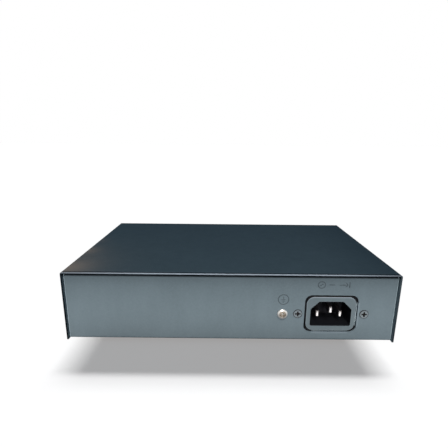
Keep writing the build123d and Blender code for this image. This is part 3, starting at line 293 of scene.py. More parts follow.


# Powder coat of the case: grey blue, matt, with the orange peel and grain of baked powder, and painted light
# and shade at its edges, folds and round the inlet. Places are in millimetres, x and y from the case's middle
# and z from the floor; left and right are as seen from behind
powderCoat = {
    "base": tone(84, 97, 104),
    "tint": 0.085,
    "tintFrom": 0.35,
    "tintFull": 0.65,
    "rough": 0.62,
    "roughLess": 0.05,
    "roughMore": 0.07,
    "specular": 0.0,
    "peel": 1.1,
    "peelDepth": 0.012,
    "peelShare": 0.35,
    "grain": 0.28,
    "grainDepth": 0.006,
    "grainShare": 0.2,
    "cloud": 26.0,
    "cloudShare": 0.2,
    "smear": 6.0,
    "smearStretch": (1.0, 1.0, 0.25),
    "smearShare": 0.25,
    "litWall": tone(93, 106, 114),
    "wallFrom": 56.5,
    "wallTo": 57.97,
    "panelBeyond": 56.0,
    "panelBelow": 44.75,
    "foldShade": 0.10,
    "foldFrom": 42.9,
    "foldFull": 43.6,
    "upperShade": 0.11,
    "upperFrom": 37.0,
    "rimFrom": 98.35,
    "rimTo": 98.95,
    "leftRim": 1.7,
    "rightRim": 1.6,
    "brim": tone(50, 58, 64),
    "brimBeyond": 57.6,
    "brimAbove": 45.5,
    "topEdgeHighlight": tone(106, 110, 117),
    "topEdgeLow": tone(24, 30, 36),
    "topEdgeEnd": tone(84, 86, 91),
    "topEdgeAbove": 44.9,
    "topEdgeWithin": 99.0,
    "lightFrom": 45.15,
    "lightFull": 45.35,
    "endFrom": 50.0,
    "endFull": 92.0,
    "leftEdgeShade": tone(10, 16, 20),
    "rightEdgeShade": tone(62, 70, 75),
    "edgeBeyond": 58.99,
    "cornerBeyond": 58.6,
    "cornerFrom": 99.2,
}


def makePowderCoat(name, look):
    material, tree, shader, where = freshMaterial(name)
    peel = noiseOf(tree, where, look["peel"], 2.0)
    grain = noiseOf(tree, where, look["grain"], 3.0, 0.6)
    cloud = noiseOf(tree, where, look["cloud"], 3.0)
    drawn = node(tree, "ShaderNodeMapping", {"Vector": where, "Scale": look["smearStretch"]}).outputs[0]
    smear = noiseOf(tree, drawn, look["smear"], 2.0)
    mottle = weighted(tree, (grain, look["grainShare"]), (cloud, look["cloudShare"]),
                      (peel, look["peelShare"]), (smear, look["smearShare"]))
    base, tint = look["base"], look["tint"]
    share = spread(tree, mottle, 0.0, 1.0, look["tintFrom"], look["tintFull"])
    colour = mixColour(tree, share, shade(base, 1 - tint), shade(base, 1 + tint))
    x, y, z = split(tree, where)
    wide, deep, isLeft = absolute(tree, x), absolute(tree, y), over(tree, x, 0.0)
    # Painted light: the two walls of the window round the inlet that light from above left would reach are
    # painted lighter
    wall = product(tree, over(tree, y, look["wallFrom"]), under(tree, y, look["wallTo"]),
                   gapLight(tree, where, inletGap))
    colour = mixColour(tree, wall, colour, look["litWall"])
    # Painted shade: the panels are painted darker towards their upper fold, and nearly black on the fold
    # behind the cover's lip
    onPanel = product(tree, over(tree, deep, look["panelBeyond"]), under(tree, z, look["panelBelow"]))
    upperShadeShare = slope(tree, z, 0.0, look["upperShade"], look["upperFrom"], look["foldFrom"])
    fold = slope(tree, z, 0.0, 1.0 - look["foldShade"], look["foldFrom"], look["foldFull"])
    lipShadeShare = product(tree, math2(tree, "MAXIMUM", fold, upperShadeShare), onPanel)
    colour = mixColour(tree, lipShadeShare, colour, black)
    # Painted highlight: the rear panel's upright edges are painted lighter than the panel
    atRim = product(tree, over(tree, wide, look["rimFrom"]), under(tree, wide, look["rimTo"]),
                    over(tree, y, 0.0), onPanel)
    rim = mixColour(tree, isLeft, shade(base, look["rightRim"]), shade(base, look["leftRim"]))
    colour = mixColour(tree, atRim, colour, rim)
    # Painted shade: the last of the cover's top, before its cut edge, is painted darker
    brim = product(tree, over(tree, deep, look["brimBeyond"]), over(tree, z, look["brimAbove"]))
    colour = mixColour(tree, brim, colour, look["brim"])
    # Painted light and shade on the cover's cut edges: light along the top, darker along its lower part and
    # towards its left end, and dark along the outer corners, darker on the left
    ends = slope(tree, x, 0.0, 1.0, look["endFrom"], look["endFull"])
    lipTop = mixColour(tree, ends, look["topEdgeHighlight"], look["topEdgeEnd"])
    lipLight = slope(tree, z, 0.0, 1.0, look["lightFrom"], look["lightFull"])
    lip = mixColour(tree, lipLight, look["topEdgeLow"], lipTop)
    atLip = product(tree, over(tree, z, look["topEdgeAbove"]), under(tree, wide, look["topEdgeWithin"]))
    side = mixColour(tree, isLeft, look["rightEdgeShade"], look["leftEdgeShade"])
    corner = product(tree, over(tree, wide, look["cornerFrom"]), under(tree, z, look["topEdgeAbove"]),
                     over(tree, deep, look["cornerBeyond"]))
    atEdge = math2(tree, "MAXIMUM", over(tree, deep, look["edgeBeyond"]), corner)
    colour = mixColour(tree, atEdge, colour, mixColour(tree, atLip, side, lip))
    rough = spread(tree, grain, look["rough"] - look["roughLess"], look["rough"] + look["roughMore"])
    dress(tree, shader, colour=colour, rough=rough, specular=look["specular"])
    bumpInto(tree, shader, weighted(tree, (peel, look["peelDepth"]), (grain, look["grainDepth"])), 1.0)
    return material


# Mains inlet: black moulding with a grey face, round a dark socket, with painted light and shade on its rim
# and in the gap round it
inletMoulding = {
    "face": tone(80, 92, 98),
    "faceWorn": tone(66, 77, 83),
    "wear": 0.25,
    "rim": tone(124, 136, 145),
    "gap": tone(6, 9, 12),
    "litGap": tone(184, 206, 217),
    "inside": tone(12, 14, 18),
    "faceBeyond": 56.75,
    "facing": 0.25,
    "halfWide": 15.5,
    "halfHigh": 11.7,
    "corner": 5.2,
    "darkRim": 0.7,
    "lightRim": 1.5,
    "rimFrom": 9.0,
    "rimFull": 11.0,
    "sideRim": 0.2,
    "grain": 0.35,
    "cloud": 7.0,
    "relief": 0.008,
    "rough": 0.55,
    "roughSpread": 0.07,
    "specular": 0.1,
}


def makeInletMoulding(name, look):
    material, tree, shader, where = freshMaterial(name)
    grain = noiseOf(tree, where, look["grain"], 3.0, 0.6)
    cloud = noiseOf(tree, where, look["cloud"], 2.0)
    across, y, above = fromMiddle(tree, where, "inlet_housing")
    outward = math2(tree, "GREATER_THAN", normalParts(tree)[1], look["facing"])
    # Distance from the boss's rounded outline, below 0 inside it: |max(q, 0)| + min(max(qx, qz), 0) - corner
    pastX = math2(tree, "SUBTRACT", absolute(tree, across), (look["halfWide"] - look["corner"]) * mm)
    pastZ = math2(tree, "SUBTRACT", absolute(tree, above), (look["halfHigh"] - look["corner"]) * mm)
    far = length(tree, math2(tree, "MAXIMUM", pastX, 0.0), math2(tree, "MAXIMUM", pastZ, 0.0))
    inward = math2(tree, "MINIMUM", math2(tree, "MAXIMUM", pastX, pastZ), 0.0)
    edge = math2(tree, "SUBTRACT", math2(tree, "ADD", far, inward), look["corner"] * mm)
    face = mixColour(tree, spread(tree, cloud, 0.0, look["wear"]), look["face"], look["faceWorn"])
    # Painted highlight: the rim is painted lighter along its top, and little at the sides and below
    light = product(tree, slope(tree, edge, 0.0, 1.0, -look["lightRim"], -look["darkRim"]),
                    slope(tree, above, look["sideRim"], 1.0, look["rimFrom"], look["rimFull"]))
    face = mixColour(tree, light, face, look["rim"])
    # Painted shade: the gap round the boss is painted near black, with painted light on its lower and right
    # walls
    gap = mixColour(tree, gapLight(tree, where, inletGap), look["gap"], look["litGap"])
    face = mixColour(tree, over(tree, edge, -look["darkRim"]), face, gap)
    onFace = product(tree, over(tree, y, look["faceBeyond"]), outward)
    rough = spread(tree, grain, look["rough"] - look["roughSpread"], look["rough"] + look["roughSpread"])
    dress(tree, shader, colour=mixColour(tree, onFace, look["inside"], face), rough=rough,
          specular=look["specular"])
    bumpInto(tree, shader, grain, look["relief"])
    return material


# Heads of the inlet's screws: dark heads with a grey face as a painted sheen, a dark groove round the head
# and a recess in black painted shade
inletScrewHead = {
    "face": tone(92, 102, 108),
    "faceWorn": tone(70, 78, 84),
    "wear": 0.3,
    "ring": tone(20, 24, 28),
    "recess": tone(8, 8, 10),
    "spacing": 40.0,
    "ringFrom": 2.25,
    "ringFull": 2.5,
    "recessBelow": 57.72,
    "blackWithin": 1.4,
    "grain": 0.3,
    "relief": 0.01,
    "rough": 0.45,
    "specular": 0.3,
}


def makeInletScrew(name, look):
    material, tree, shader, where = freshMaterial(name)
    across, y, above = fromMiddle(tree, where, "inlet_screws")
    aside = math2(tree, "SUBTRACT", absolute(tree, across), look["spacing"] / 2 * mm)
    ring = slope(tree, length(tree, aside, above), 0.0, 1.0, look["ringFrom"], look["ringFull"])
    grain = noiseOf(tree, where, look["grain"], 3.0)
    face = mixColour(tree, spread(tree, grain, 0.0, look["wear"]), look["face"], look["faceWorn"])
    colour = mixColour(tree, ring, face, look["ring"])
    # Painted shade: the recess and a diamond round its cross are painted black
    reach = math2(tree, "ADD", absolute(tree, aside), absolute(tree, above))
    dark = math2(tree, "MAXIMUM", under(tree, y, look["recessBelow"]),
                 under(tree, reach, look["blackWithin"]))
    colour = mixColour(tree, dark, colour, look["recess"])
    dress(tree, shader, colour=colour, rough=look["rough"], specular=look["specular"])
    bumpInto(tree, shader, grain, look["relief"])
    return material


# Ground screw: bright nickel, browner and less metallic in a ring round its recess
groundNickel = {
    "bright": tone(189, 191, 190),
    "worn": tone(156, 154, 147),
    "wear": 0.35,
    "brownRing": tone(98, 91, 79),
    "brownRingFrom": 0.75,
    "brownRingWithin": 2.25,
    "brownRingFade": 0.3,
    "brownRingAbove": 0.3,
    "brownRingAtMiddle": 0.25,
    "brownRingLeast": 0.75,
    "brownRingMetal": 0.1,
    "metal": 0.8,
    "rough": 0.4,
    "roughLess": 0.06,
    "roughMore": 0.1,
    "specular": 0.2,
    "grain": 0.4,
    "relief": 0.012,
}


def makeGroundNickel(name, look):
    material, tree, shader, where = freshMaterial(name)
    grain = noiseOf(tree, where, look["grain"], 4.0, 0.6)
    across, _, above = fromMiddle(tree, where, "ground_screw")
    radius = length(tree, across, math2(tree, "SUBTRACT", above, look["brownRingAbove"] * mm))
    fade, start, end = look["brownRingFade"], look["brownRingFrom"], look["brownRingWithin"]
    brownRing = product(tree, slope(tree, radius, 1.0, 0.0, end - fade, end),
                   slope(tree, radius, look["brownRingAtMiddle"], 1.0, start - fade, start),
                   spread(tree, grain, look["brownRingLeast"], 1.0))
    bright = mixColour(tree, spread(tree, grain, 0.0, look["wear"]), look["bright"], look["worn"])
    rough = spread(tree, grain, look["rough"] - look["roughLess"], look["rough"] + look["roughMore"])
    dress(tree, shader, colour=mixColour(tree, brownRing, bright, look["brownRing"]), rough=rough,
          metal=spread(tree, brownRing, look["metal"], look["brownRingMetal"]), specular=look["specular"])
    bumpInto(tree, shader, grain, look["relief"])
    return material


# Enamelled wire: the turns show as ridges across one axis, ridge and furrow each as wide as given here
enamelWire = {
    "base": tone(176, 92, 44),
    "axis": "Z",
    "ridge": 0.8,
    "uneven": 0.6,
    "furrow": 0.55,
    "wear": 0.3,
    "grain": 0.4,
    "relief": 0.12,
    "rough": 0.3,
}


def makeWinding(name, look):
    material, tree, shader, where = freshMaterial(name)
    # The wave texture is sin(20 s x), so s = pi / (20 ridge) gives half a wave to each ridge
    wave = node(tree, "ShaderNodeTexWave", {"Vector": where, "Scale": 1 / (look["ridge"] * mm) / 20 * math.pi,
                                            "Distortion": look["uneven"]},
                wave_type="BANDS", bands_direction=look["axis"]).outputs[1]
    grain = noiseOf(tree, where, look["grain"], 3.0)
    # Painted shade: the furrows between the turns are painted darker, and the same darker tone also comes at
    # random as wear
    darker = shade(look["base"], look["furrow"])
    colour = mixColour(tree, wave, darker, look["base"])
    colour = mixColour(tree, spread(tree, grain, 0.0, look["wear"]), colour, darker)
    dress(tree, shader, colour=colour, rough=look["rough"])
    bumpInto(tree, shader, wave, look["relief"])
    return material


# Board laminate: solder mask over copper runs, with the glass weave just showing
boardLaminate = {
    "mask": tone(22, 82, 46),
    "copper": tone(40, 112, 62),
    "glass": tone(16, 64, 36),
    "wear": 0.3,
    "edge": tone(150, 150, 92),
    "flatFrom": 0.5,
    "run": 3.2,
    "runLong": 1.7,
    "runWide": 0.34,
    "between": 0.09,
    "blur": 0.1,
    "weave": 0.5,
    "relief": 0.03,
    "roughLeast": 0.3,
    "roughMost": 0.42,
}


def makeLaminate(name, look):
    material, tree, shader, where = freshMaterial(name)
    runs = node(tree, "ShaderNodeTexBrick", {
        "Vector": where, "Scale": 1 / (look["run"] * mm), "Mortar Size": look["between"],
        "Mortar Smooth": look["blur"], "Brick Width": look["runLong"], "Row Height": look["runWide"],
    }).outputs["Fac"]
    weave = noiseOf(tree, where, look["weave"], 3.0)
    colour = mixColour(tree, runs, look["mask"], look["copper"])
    colour = mixColour(tree, spread(tree, weave, 0.0, look["wear"]), colour, look["glass"])
    side = math2(tree, "LESS_THAN", absolute(tree, normalParts(tree)[2]), look["flatFrom"])
    dress(tree, shader, colour=mixColour(tree, side, colour, look["edge"]),
          rough=spread(tree, weave, look["roughLeast"], look["roughMost"]))
    bumpInto(tree, shader, runs, look["relief"])
    return material


# Lamp resin: milky and unlit, so it only lets light through
lampResin = {
    "base": tone(214, 226, 214),
    "cloudy": 0.86,
    "haze": 1.6,
    "relief": 0.01,
    "rough": 0.22,
    "roughSpread": 0.06,
    "through": 0.35,
    "bending": 1.5,
}


def makeLampResin(name, look):
    material, tree, shader, where = freshMaterial(name)
    haze = noiseOf(tree, where, look["haze"], 3.0)
    rough = spread(tree, haze, look["rough"] - look["roughSpread"], look["rough"] + look["roughSpread"])
    dress(tree, shader, colour=mixColour(tree, haze, shade(look["base"], look["cloudy"]), look["base"]),
          rough=rough, through=look["through"], bending=look["bending"])
    bumpInto(tree, shader, haze, look["relief"])
    return material


# Inlet pins: a painted highlight on the middle of the rounded tips, fading upwards, and flanks painted dark
# as shade in the socket
inletPin = {
    "tip": tone(240, 242, 244),
    "tipWorn": 0.9,
    "wear": 0.4,
    "flankShade": tone(26, 26, 28),
    "halfWide": 0.7,
    "fade": 0.2,
    "dimFrom": 0.3,
    "dimTo": 1.8,
    "dimmest": 0.2,
    "tipDepth": 0.35,
    "grain": 0.5,
    "relief": 0.006,
    "metal": 0.3,
    "roughLeast": 0.3,
    "roughMost": 0.4,
}


def makePin(name, look):
    material, tree, shader, where = freshMaterial(name)
    across, y, above = fromMiddle(tree, where, name)
    # Painted highlight across the middle of the tip, fading upwards; elsewhere the flank's painted shade
    narrow = slope(tree, absolute(tree, across), 1.0, 0.0, look["halfWide"], look["halfWide"] + look["fade"])
    dim = slope(tree, above, 1.0, look["dimmest"], look["dimFrom"], look["dimTo"])
    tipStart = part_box(name)[1][1] - look["tipDepth"] * mm
    share = product(tree, narrow, dim, math2(tree, "GREATER_THAN", y, tipStart))
    grain = noiseOf(tree, where, look["grain"], 3.0)
    wear = spread(tree, grain, 0.0, look["wear"])
    bright = mixColour(tree, wear, look["tip"], shade(look["tip"], look["tipWorn"]))
    dress(tree, shader, colour=mixColour(tree, share, look["flankShade"], bright), metal=look["metal"],
          rough=spread(tree, grain, look["roughLeast"], look["roughMost"]))
    bumpInto(tree, shader, grain, look["relief"])
    return material


# Earth lead: green with its yellow stripe spiralling a little
earthLead = {
    "green": tone(36, 128, 58),
    "yellow": tone(214, 196, 48),
    "soiled": tone(30, 60, 30),
    "wear": 0.12,
    "bands": 26.0,
    "uneven": 0.4,
    "yellowOver": 0.68,
    "grain": 0.5,
    "relief": 0.01,
    "rough": 0.42,
}


def makeEarthLead(name, look):
    material, tree, shader, where = freshMaterial(name)
    band = node(tree, "ShaderNodeTexWave", {"Vector": where, "Scale": look["bands"],
                                            "Distortion": look["uneven"]},
                wave_type="BANDS", bands_direction="DIAGONAL").outputs[1]
    stripe = math2(tree, "GREATER_THAN", band, look["yellowOver"])
    grain = noiseOf(tree, where, look["grain"], 3.0)
    colour = mixColour(tree, stripe, look["green"], look["yellow"])
    colour = mixColour(tree, spread(tree, grain, 0.0, look["wear"]), colour, look["soiled"])
    dress(tree, shader, colour=colour, rough=look["rough"])
    bumpInto(tree, shader, grain, look["relief"])
    return material


# Even finishes, one for each material slot of the record that needs no pattern of its own
finishes = {
    "black_screw": {"base": tone(38, 40, 43), "rough": 0.42, "grain": 0.25, "relief": 0.012, "tint": 0.2},
    "bright_screw": {"base": tone(205, 204, 198), "metal": 1.0, "rough": 0.32, "grain": 0.3, "relief": 0.01},
    "foot_rubber": {"base": tone(34, 34, 36), "rough": 0.82, "grain": 0.22, "relief": 0.03, "tint": 0.2},
    "brass_terminal": {"base": tone(206, 172, 104), "metal": 1.0, "rough": 0.35, "grain": 0.4,
                       "relief": 0.01},
    "steel_shell": {"base": tone(160, 162, 164), "metal": 1.0, "rough": 0.34, "grain": 0.5, "blotch": 5.0,
                    "stretch": (0.25, 2.0, 2.0), "relief": 0.008, "tint": 0.08},
    "port_plastic": {"base": tone(25, 26, 28), "rough": 0.48, "grain": 0.3, "relief": 0.012, "tint": 0.15},
    "gold_contact": {"base": tone(232, 190, 104), "metal": 1.0, "rough": 0.24, "grain": 0.2, "relief": 0.004,
                     "tint": 0.1},
    "clear_sheet": {"base": tone(176, 178, 172), "rough": 0.35, "grain": 1.2, "relief": 0.02, "tint": 0.08},
    "chip_resin": {"base": tone(30, 31, 33), "rough": 0.6, "grain": 0.16, "relief": 0.01, "tint": 0.18},
    "sink_aluminium": {"base": tone(172, 176, 178), "metal": 1.0, "rough": 0.38, "grain": 0.35,
                       "stretch": (3.0, 3.0, 0.3), "relief": 0.012, "tint": 0.1},
    "ferrite": {"base": tone(48, 48, 50), "rough": 0.66, "grain": 0.2, "relief": 0.02, "tint": 0.25},
    "yellow_plastic": {"base": tone(206, 170, 44), "rough": 0.42, "grain": 0.5, "relief": 0.01, "tint": 0.1},
    "header_plastic": {"base": tone(222, 216, 200), "rough": 0.45, "grain": 0.4, "relief": 0.012,
                       "tint": 0.06},
    "can_sleeve": {"base": tone(28, 34, 52), "rough": 0.3, "grain": 0.8, "relief": 0.01, "tint": 0.14},
    "crystal_can": {"base": tone(204, 205, 204), "metal": 1.0, "rough": 0.27, "grain": 0.3, "relief": 0.006},
    "lead_brown": {"base": tone(92, 54, 30), "rough": 0.4, "grain": 0.5, "relief": 0.01},
    "lead_blue": {"base": tone(36, 84, 156), "rough": 0.4, "grain": 0.5, "relief": 0.01},
    "lead_red": {"base": tone(176, 34, 30), "rough": 0.4, "grain": 0.5, "relief": 0.01},
    "lead_black": {"base": tone(30, 30, 32), "rough": 0.42, "grain": 0.5, "relief": 0.01},
}

materials = {slot: finish(slot, look) for slot, look in finishes.items()}
materials["case_paint"] = makePowderCoat("powderCoat", powderCoat)
materials["inlet_plastic"] = makeInletMoulding("inletMoulding", inletMoulding)
materials["lamp_resin"] = makeLampResin("lampResin", lampResin)
materials["board_laminate"] = makeLaminate("boardLaminate", boardLaminate)
materials["enamel_wire"] = makeWinding("enamelWire", enamelWire)
materials["lead_earth"] = makeEarthLead("earthLead", earthLead)

# Nodes that look different from the rest of their slot
ownMaterial = {
    "inlet_screws": makeInletScrew("inletScrewHead", inletScrewHead),
    "ground_screw": makeGroundNickel("groundNickel", groundNickel),
}
for name in ("inlet_earth_pin", "inlet_line_pin", "inlet_neutral_pin"):
    ownMaterial[name] = makePin(name, inletPin)

slotOf = {part["node"]: part["material_slot"] for part in frame["record"]["subparts"]}
for name, piece in nodes.items():
    material = ownMaterial[name] if name in ownMaterial else materials[slotOf[name]]
    if not piece.material_slots:
        piece.data.materials.append(material)
    for place in piece.material_slots:
        place.material = material
print("materials on", len(nodes), "nodes")

mergeWithin = 1e-7


# Meshes from arrays
def meshPiece(name, vertices, faces, slot, material, smooth=True):
    mesh = bpy.data.meshes.new(name)
    mesh.from_pydata(np.asarray(vertices).tolist(), [], [list(f) for f in faces])
    tidy = bmesh.new()
    tidy.from_mesh(mesh)
    bmesh.ops.remove_doubles(tidy, verts=tidy.verts, dist=mergeWithin)
    bmesh.ops.recalc_face_normals(tidy, faces=tidy.faces)
    tidy.to_mesh(mesh)
    tidy.free()
    mesh.polygons.foreach_set("use_smooth", [smooth] * len(mesh.polygons))
    mesh.materials.append(material)
    piece = bpy.data.objects.new(name, mesh)
    scene.collection.objects.link(piece)
    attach(piece, "root")
    return piece


# How far the outer faces of both panels are from the case's middle, in millimetres
panelFace = 57.5


def panelPoint(flat, lift, side):
    # a panel's flat coordinates are metres along X and Z; side is +1 for the rear panel and -1 for the front
    return np.stack([flat[..., 0], side * panelFace * mm + side * lift, flat[..., 1]], axis=-1)


# Stamped bead: corners of its section, how deep it sinks into the panel, and how its open ends draw in
beadForm = {"corners": 10, "sunk": 0.02, "end": 0.05, "besideEnd": 0.8}


def bead(path, width, height, closed, side):
    # A low half-round bead along a flat path, its section (width/2 cos t, height sin t), pointed at open ends
    corners = beadForm["corners"]
    path = np.asarray(path, float) * mm
    if closed:
        ahead = np.roll(path, -1, axis=0) - np.roll(path, 1, axis=0)
    else:
        ahead = np.gradient(path, axis=0)
    ahead /= np.linalg.norm(ahead, axis=1)[:, None]
    across = np.stack([-ahead[:, 1], ahead[:, 0]], axis=1)
    turn = np.linspace(0, 2 * np.pi, corners, endpoint=False)
    wide = np.cos(turn) * width / 2 * mm
    lift = np.where(np.sin(turn) > 0, np.sin(turn) * height, np.sin(turn) * beadForm["sunk"]) * mm
    share = np.ones(len(path))
    if not closed:
        share[[0, -1]] = beadForm["end"]
        share[[1, -2]] = beadForm["besideEnd"]
    flat = path[:, None, :] + across[:, None, :] * (wide[None, :, None] * share[:, None, None])
    vertices = panelPoint(flat, lift[None, :] * share[:, None], side)
    count = len(path)
    rows = np.arange(count if closed else count - 1)
    here, onwards = np.arange(corners)[None, :], (np.arange(corners) + 1)[None, :] % corners
    first = rows[:, None] * corners
    second = ((rows + 1) % count)[:, None] * corners
    faces = np.stack([first + here, first + onwards, second + onwards, second + here], axis=-1)
    faces = faces.reshape(-1, 4).tolist()
    if not closed:
        faces.append(list(range(corners)))
        faces.append(list(range((count - 1) * corners, count * corners)))
    return vertices.reshape(-1, 3), faces


def join(parts):
    vertices, faces, start = [], [], 0
    for points, polygons in parts:
        vertices.append(points)
        faces += [[start + i for i in f] for f in polygons]
        start += len(points)
    return np.concatenate(vertices), faces


def arc(centre, radius, start, end, steps):
    turn = np.radians(np.linspace(start, end, steps))
    return np.stack([centre[0] + radius * np.cos(turn), centre[1] + radius * np.sin(turn)], axis=1)


def line(start, end, steps=6):
    share = np.linspace(0, 1, steps)[:, None]
    return (1 - share) * np.asarray(start, float) + share * np.asarray(end, float)


# Stamped marks in the rear panel, painted over, and coloured darker than the panel as painted shade of their
# relief. Bars are given as (how far below the centre, half width); dash, arrow and wave are counted from the
# legend's ring
stampedMark = {
    "colour": tone(57, 67, 73),
    "width": 0.5,
    "height": 0.14,
    "earthCentre": (-31.5, 29.2),
    "earthRadius": 3.15,
    "earthSteps": 65,
    "earthStem": (2.0, 0.1),
    "earthBars": ((0.1, 1.7), (1.0, 1.1), (1.9, 0.55)),
    "narrower": 0.8,
    "lower": 0.6,
    "legendLeft": -51.6,
    "legendMiddle": 38.9,
    "legendHalfHeight": 2.1,
    "legendSteps": 49,
    "waveHalf": 1.2,
    "waveHigh": 0.6,
    "waveSteps": 17,
    "dash": (4.0, 8.2),
    "arrow": (10.2, 15.6),
    "arrowHead": (1.7, 1.5),
    "barBeyond": 0.9,
    "barSteps": 9,
}
stampShadePaint = finish("stampShadePaint", {"base": stampedMark["colour"], "rough": 0.6, "specular": 0.16,
                                   "grain": 0.3, "relief": 0.008, "tint": 0.08})


def makeEarthMark(mark):
    cx, cz = mark["earthCentre"]
    w, h = mark["width"], mark["height"]
    ring = arc((cx, cz), mark["earthRadius"], 0, 360, mark["earthSteps"])[:-1]
    parts = [bead(ring, w, h, True, 1)]
    top, bottom = mark["earthStem"]
    strokes = [((cx, cz + top), (cx, cz + bottom))]
    for drop, half in mark["earthBars"]:
        strokes.append(((cx - half, cz - drop), (cx + half, cz - drop)))
    parts += [bead(line(*s), w * mark["narrower"], h * mark["lower"], False, 1) for s in strokes]
    return join(parts)


def makeInletLegend(mark):
    # seen from behind, the row runs from +X to -X: a wave in a ring, a dash, an arrow into a bar
    mid, half = mark["legendMiddle"], mark["legendHalfHeight"]
    w, h = mark["width"], mark["height"]
    ringX = mark["legendLeft"] - half
    parts = [bead(arc((ringX, mid), half, 0, 360, mark["legendSteps"])[:-1], w, h, True, 1)]
    # wave: z = waveHigh sin(pi x / waveHalf)
    along = np.linspace(-mark["waveHalf"], mark["waveHalf"], mark["waveSteps"])
    wave = mid + mark["waveHigh"] * np.sin(along / mark["waveHalf"] * np.pi)
    parts.append(bead(np.stack([ringX - along, wave], axis=1), w, h, False, 1))
    for start, end in (mark["dash"], mark["arrow"]):
        parts.append(bead(line((ringX - start, mid), (ringX - end, mid)), w, h, False, 1))
    tip = ringX - mark["arrow"][1]
    back, rise = mark["arrowHead"]
    for side in (-1, 1):
        parts.append(bead(line((tip, mid), (tip + back, mid + side * rise)), w, h, False, 1))
    barX = tip - mark["barBeyond"]
    parts.append(bead(line((barX, mid - half), (barX, mid + half), mark["barSteps"]), w, h, False, 1))
    return join(parts)


meshPiece("earthMark", *makeEarthMark(stampedMark), "case_paint", stampShadePaint)
meshPiece("inletLegend", *makeInletLegend(stampedMark), "case_paint", stampShadePaint)
print("rear marks made")

# Numbers printed on the front panel over the sockets and beside the lamps. Banks are (middle, sockets)
frontPrint = {
    "colour": tone(206, 210, 210),
    "thick": 0.02,
    "curveSteps": 3,
    "portSize": 2.6,
    "portHeight": 26.2,
    "portPitch": 13.97,
    "banks": ((1.5, 8), (76.5, 2)),
    "lampSize": 1.9,
    "lampFirst": -86.0,
    "lampPitch": 5.0,
    "lampsNumbered": 5,
    "lampLow": 14.0,
    "lampHigh": 19.0,
    "lampGap": 3.1,
}
printInk = finish("printInk", {"base": frontPrint["colour"], "rough": 0.55, "grain": 0.2, "relief": 0.006,
                               "tint": 0.05})


def numeral(text, size, middle):
    # a numeral made a mesh first, then laid on the front panel with its middle at a place (x, z)
    curve = bpy.data.curves.new("numeral", "FONT")
    curve.body = text
    curve.size = size * mm
    curve.align_x = "CENTER"
    curve.align_y = "CENTER"
    curve.extrude = frontPrint["thick"] / 2 * mm
    curve.resolution_u = frontPrint["curveSteps"]
    holder = bpy.data.objects.new("numeral", curve)
    scene.collection.objects.link(holder)
    mesh = bpy.data.meshes.new_from_object(holder.evaluated_get(bpy.context.evaluated_depsgraph_get()))
    points = np.empty(len(mesh.vertices) * 3)
    mesh.vertices.foreach_get("co", points)
    points = points.reshape(-1, 3)
    faces = [list(p.vertices) for p in mesh.polygons]
    bpy.data.objects.remove(holder)
    bpy.data.meshes.remove(mesh)
    bpy.data.curves.remove(curve)
    placed = np.stack([middle[0] * mm + points[:, 0],
                       -panelFace * mm - points[:, 2] - frontPrint["thick"] / 2 * mm,
                       middle[1] * mm + points[:, 1]], axis=1)
    return placed, faces


def makePortNumbers(look):
    places = [middle + look["portPitch"] * (n - (count - 1) / 2)
              for middle, count in look["banks"] for n in range(count)]
    return join([numeral(str(n + 1), look["portSize"], (x, look["portHeight"]))
                 for n, x in enumerate(places)])


def makeLampNumbers(look):
    parts = []
    for n in range(look["lampsNumbered"]):
        x = look["lampFirst"] + look["lampPitch"] * n
        parts.append(numeral(str(2 * n + 1), look["lampSize"], (x, look["lampHigh"] + look["lampGap"])))
        parts.append(numeral(str(2 * n + 2), look["lampSize"], (x, look["lampLow"] - look["lampGap"])))
    return join(parts)


meshPiece("portNumbers", *makePortNumbers(frontPrint), "case_paint", printInk, smooth=False)
meshPiece("lampNumbers", *makeLampNumbers(frontPrint), "case_paint", printInk, smooth=False)
print("front print made")

# Floor, pale: white where it is lit, with the object's shadow kept
floorLook = {"half": 6.0, "own": (0.352, 0.343, 0.340, 1.0), "lit": 0.22}


def makeFloor(look):
    half = look["half"]
    mesh = bpy.data.meshes.new("floor")
    corners = [(-half, -half, 0), (half, -half, 0), (half, half, 0), (-half, half, 0)]
    mesh.from_pydata(corners, [], [(0, 1, 2, 3)])
    material = bpy.data.materials.new("floorPale")
    material.use_nodes = True
    tree = material.node_tree
    tree.nodes.clear()
    lit = node(tree, "ShaderNodeBsdfDiffuse", {"Color": (look["lit"],) * 3 + (1.0,)})
    own = node(tree, "ShaderNodeEmission", {"Color": look["own"], "Strength": seenRays(tree)})
    both = node(tree, "ShaderNodeAddShader", {0: lit.outputs[0], 1: own.outputs[0]})
    node(tree, "ShaderNodeOutputMaterial", {0: both.outputs[0]})
    mesh.materials.append(material)
    piece = bpy.data.objects.new("floor", mesh)
    scene.collection.objects.link(piece)
    return piece


floor = makeFloor(floorLook)

# A flag hidden in the thickness of the cover's top and the chassis floor: it alone shades the floor,
# so the shadow starts soft at its ends, as under a case held up by its feet
shadowFlag = {
    "top": ((-80.5, -57.5), (88.5, 58.5), 45.5),
    "bottom": ((-98.0, -57.0), (98.0, 44.0), 2.5),
}


def makeShadowFlag(look):
    corners, faces = [], []
    for (x0, y0), (x1, y1), z in look.values():
        start = len(corners)
        corners += [(x * mm, y * mm, z * mm) for x, y in ((x0, y0), (x1, y0), (x1, y1), (x0, y1))]
        faces.append((start, start + 1, start + 2, start + 3))
    mesh = bpy.data.meshes.new("shadowFlag")
    mesh.from_pydata(corners, [], faces)
    piece = bpy.data.objects.new("shadowFlag", mesh)
    scene.collection.objects.link(piece)
    piece.visible_camera = piece.visible_diffuse = piece.visible_glossy = piece.visible_transmission = False
    return piece


flag = makeShadowFlag(shadowFlag)

# World: white to the eye and in reflections, a cool low sky for everything else
sky = {"seen": (1.0, 1.0, 1.0, 1.0), "light": (0.112, 0.164, 0.211, 1.0)}


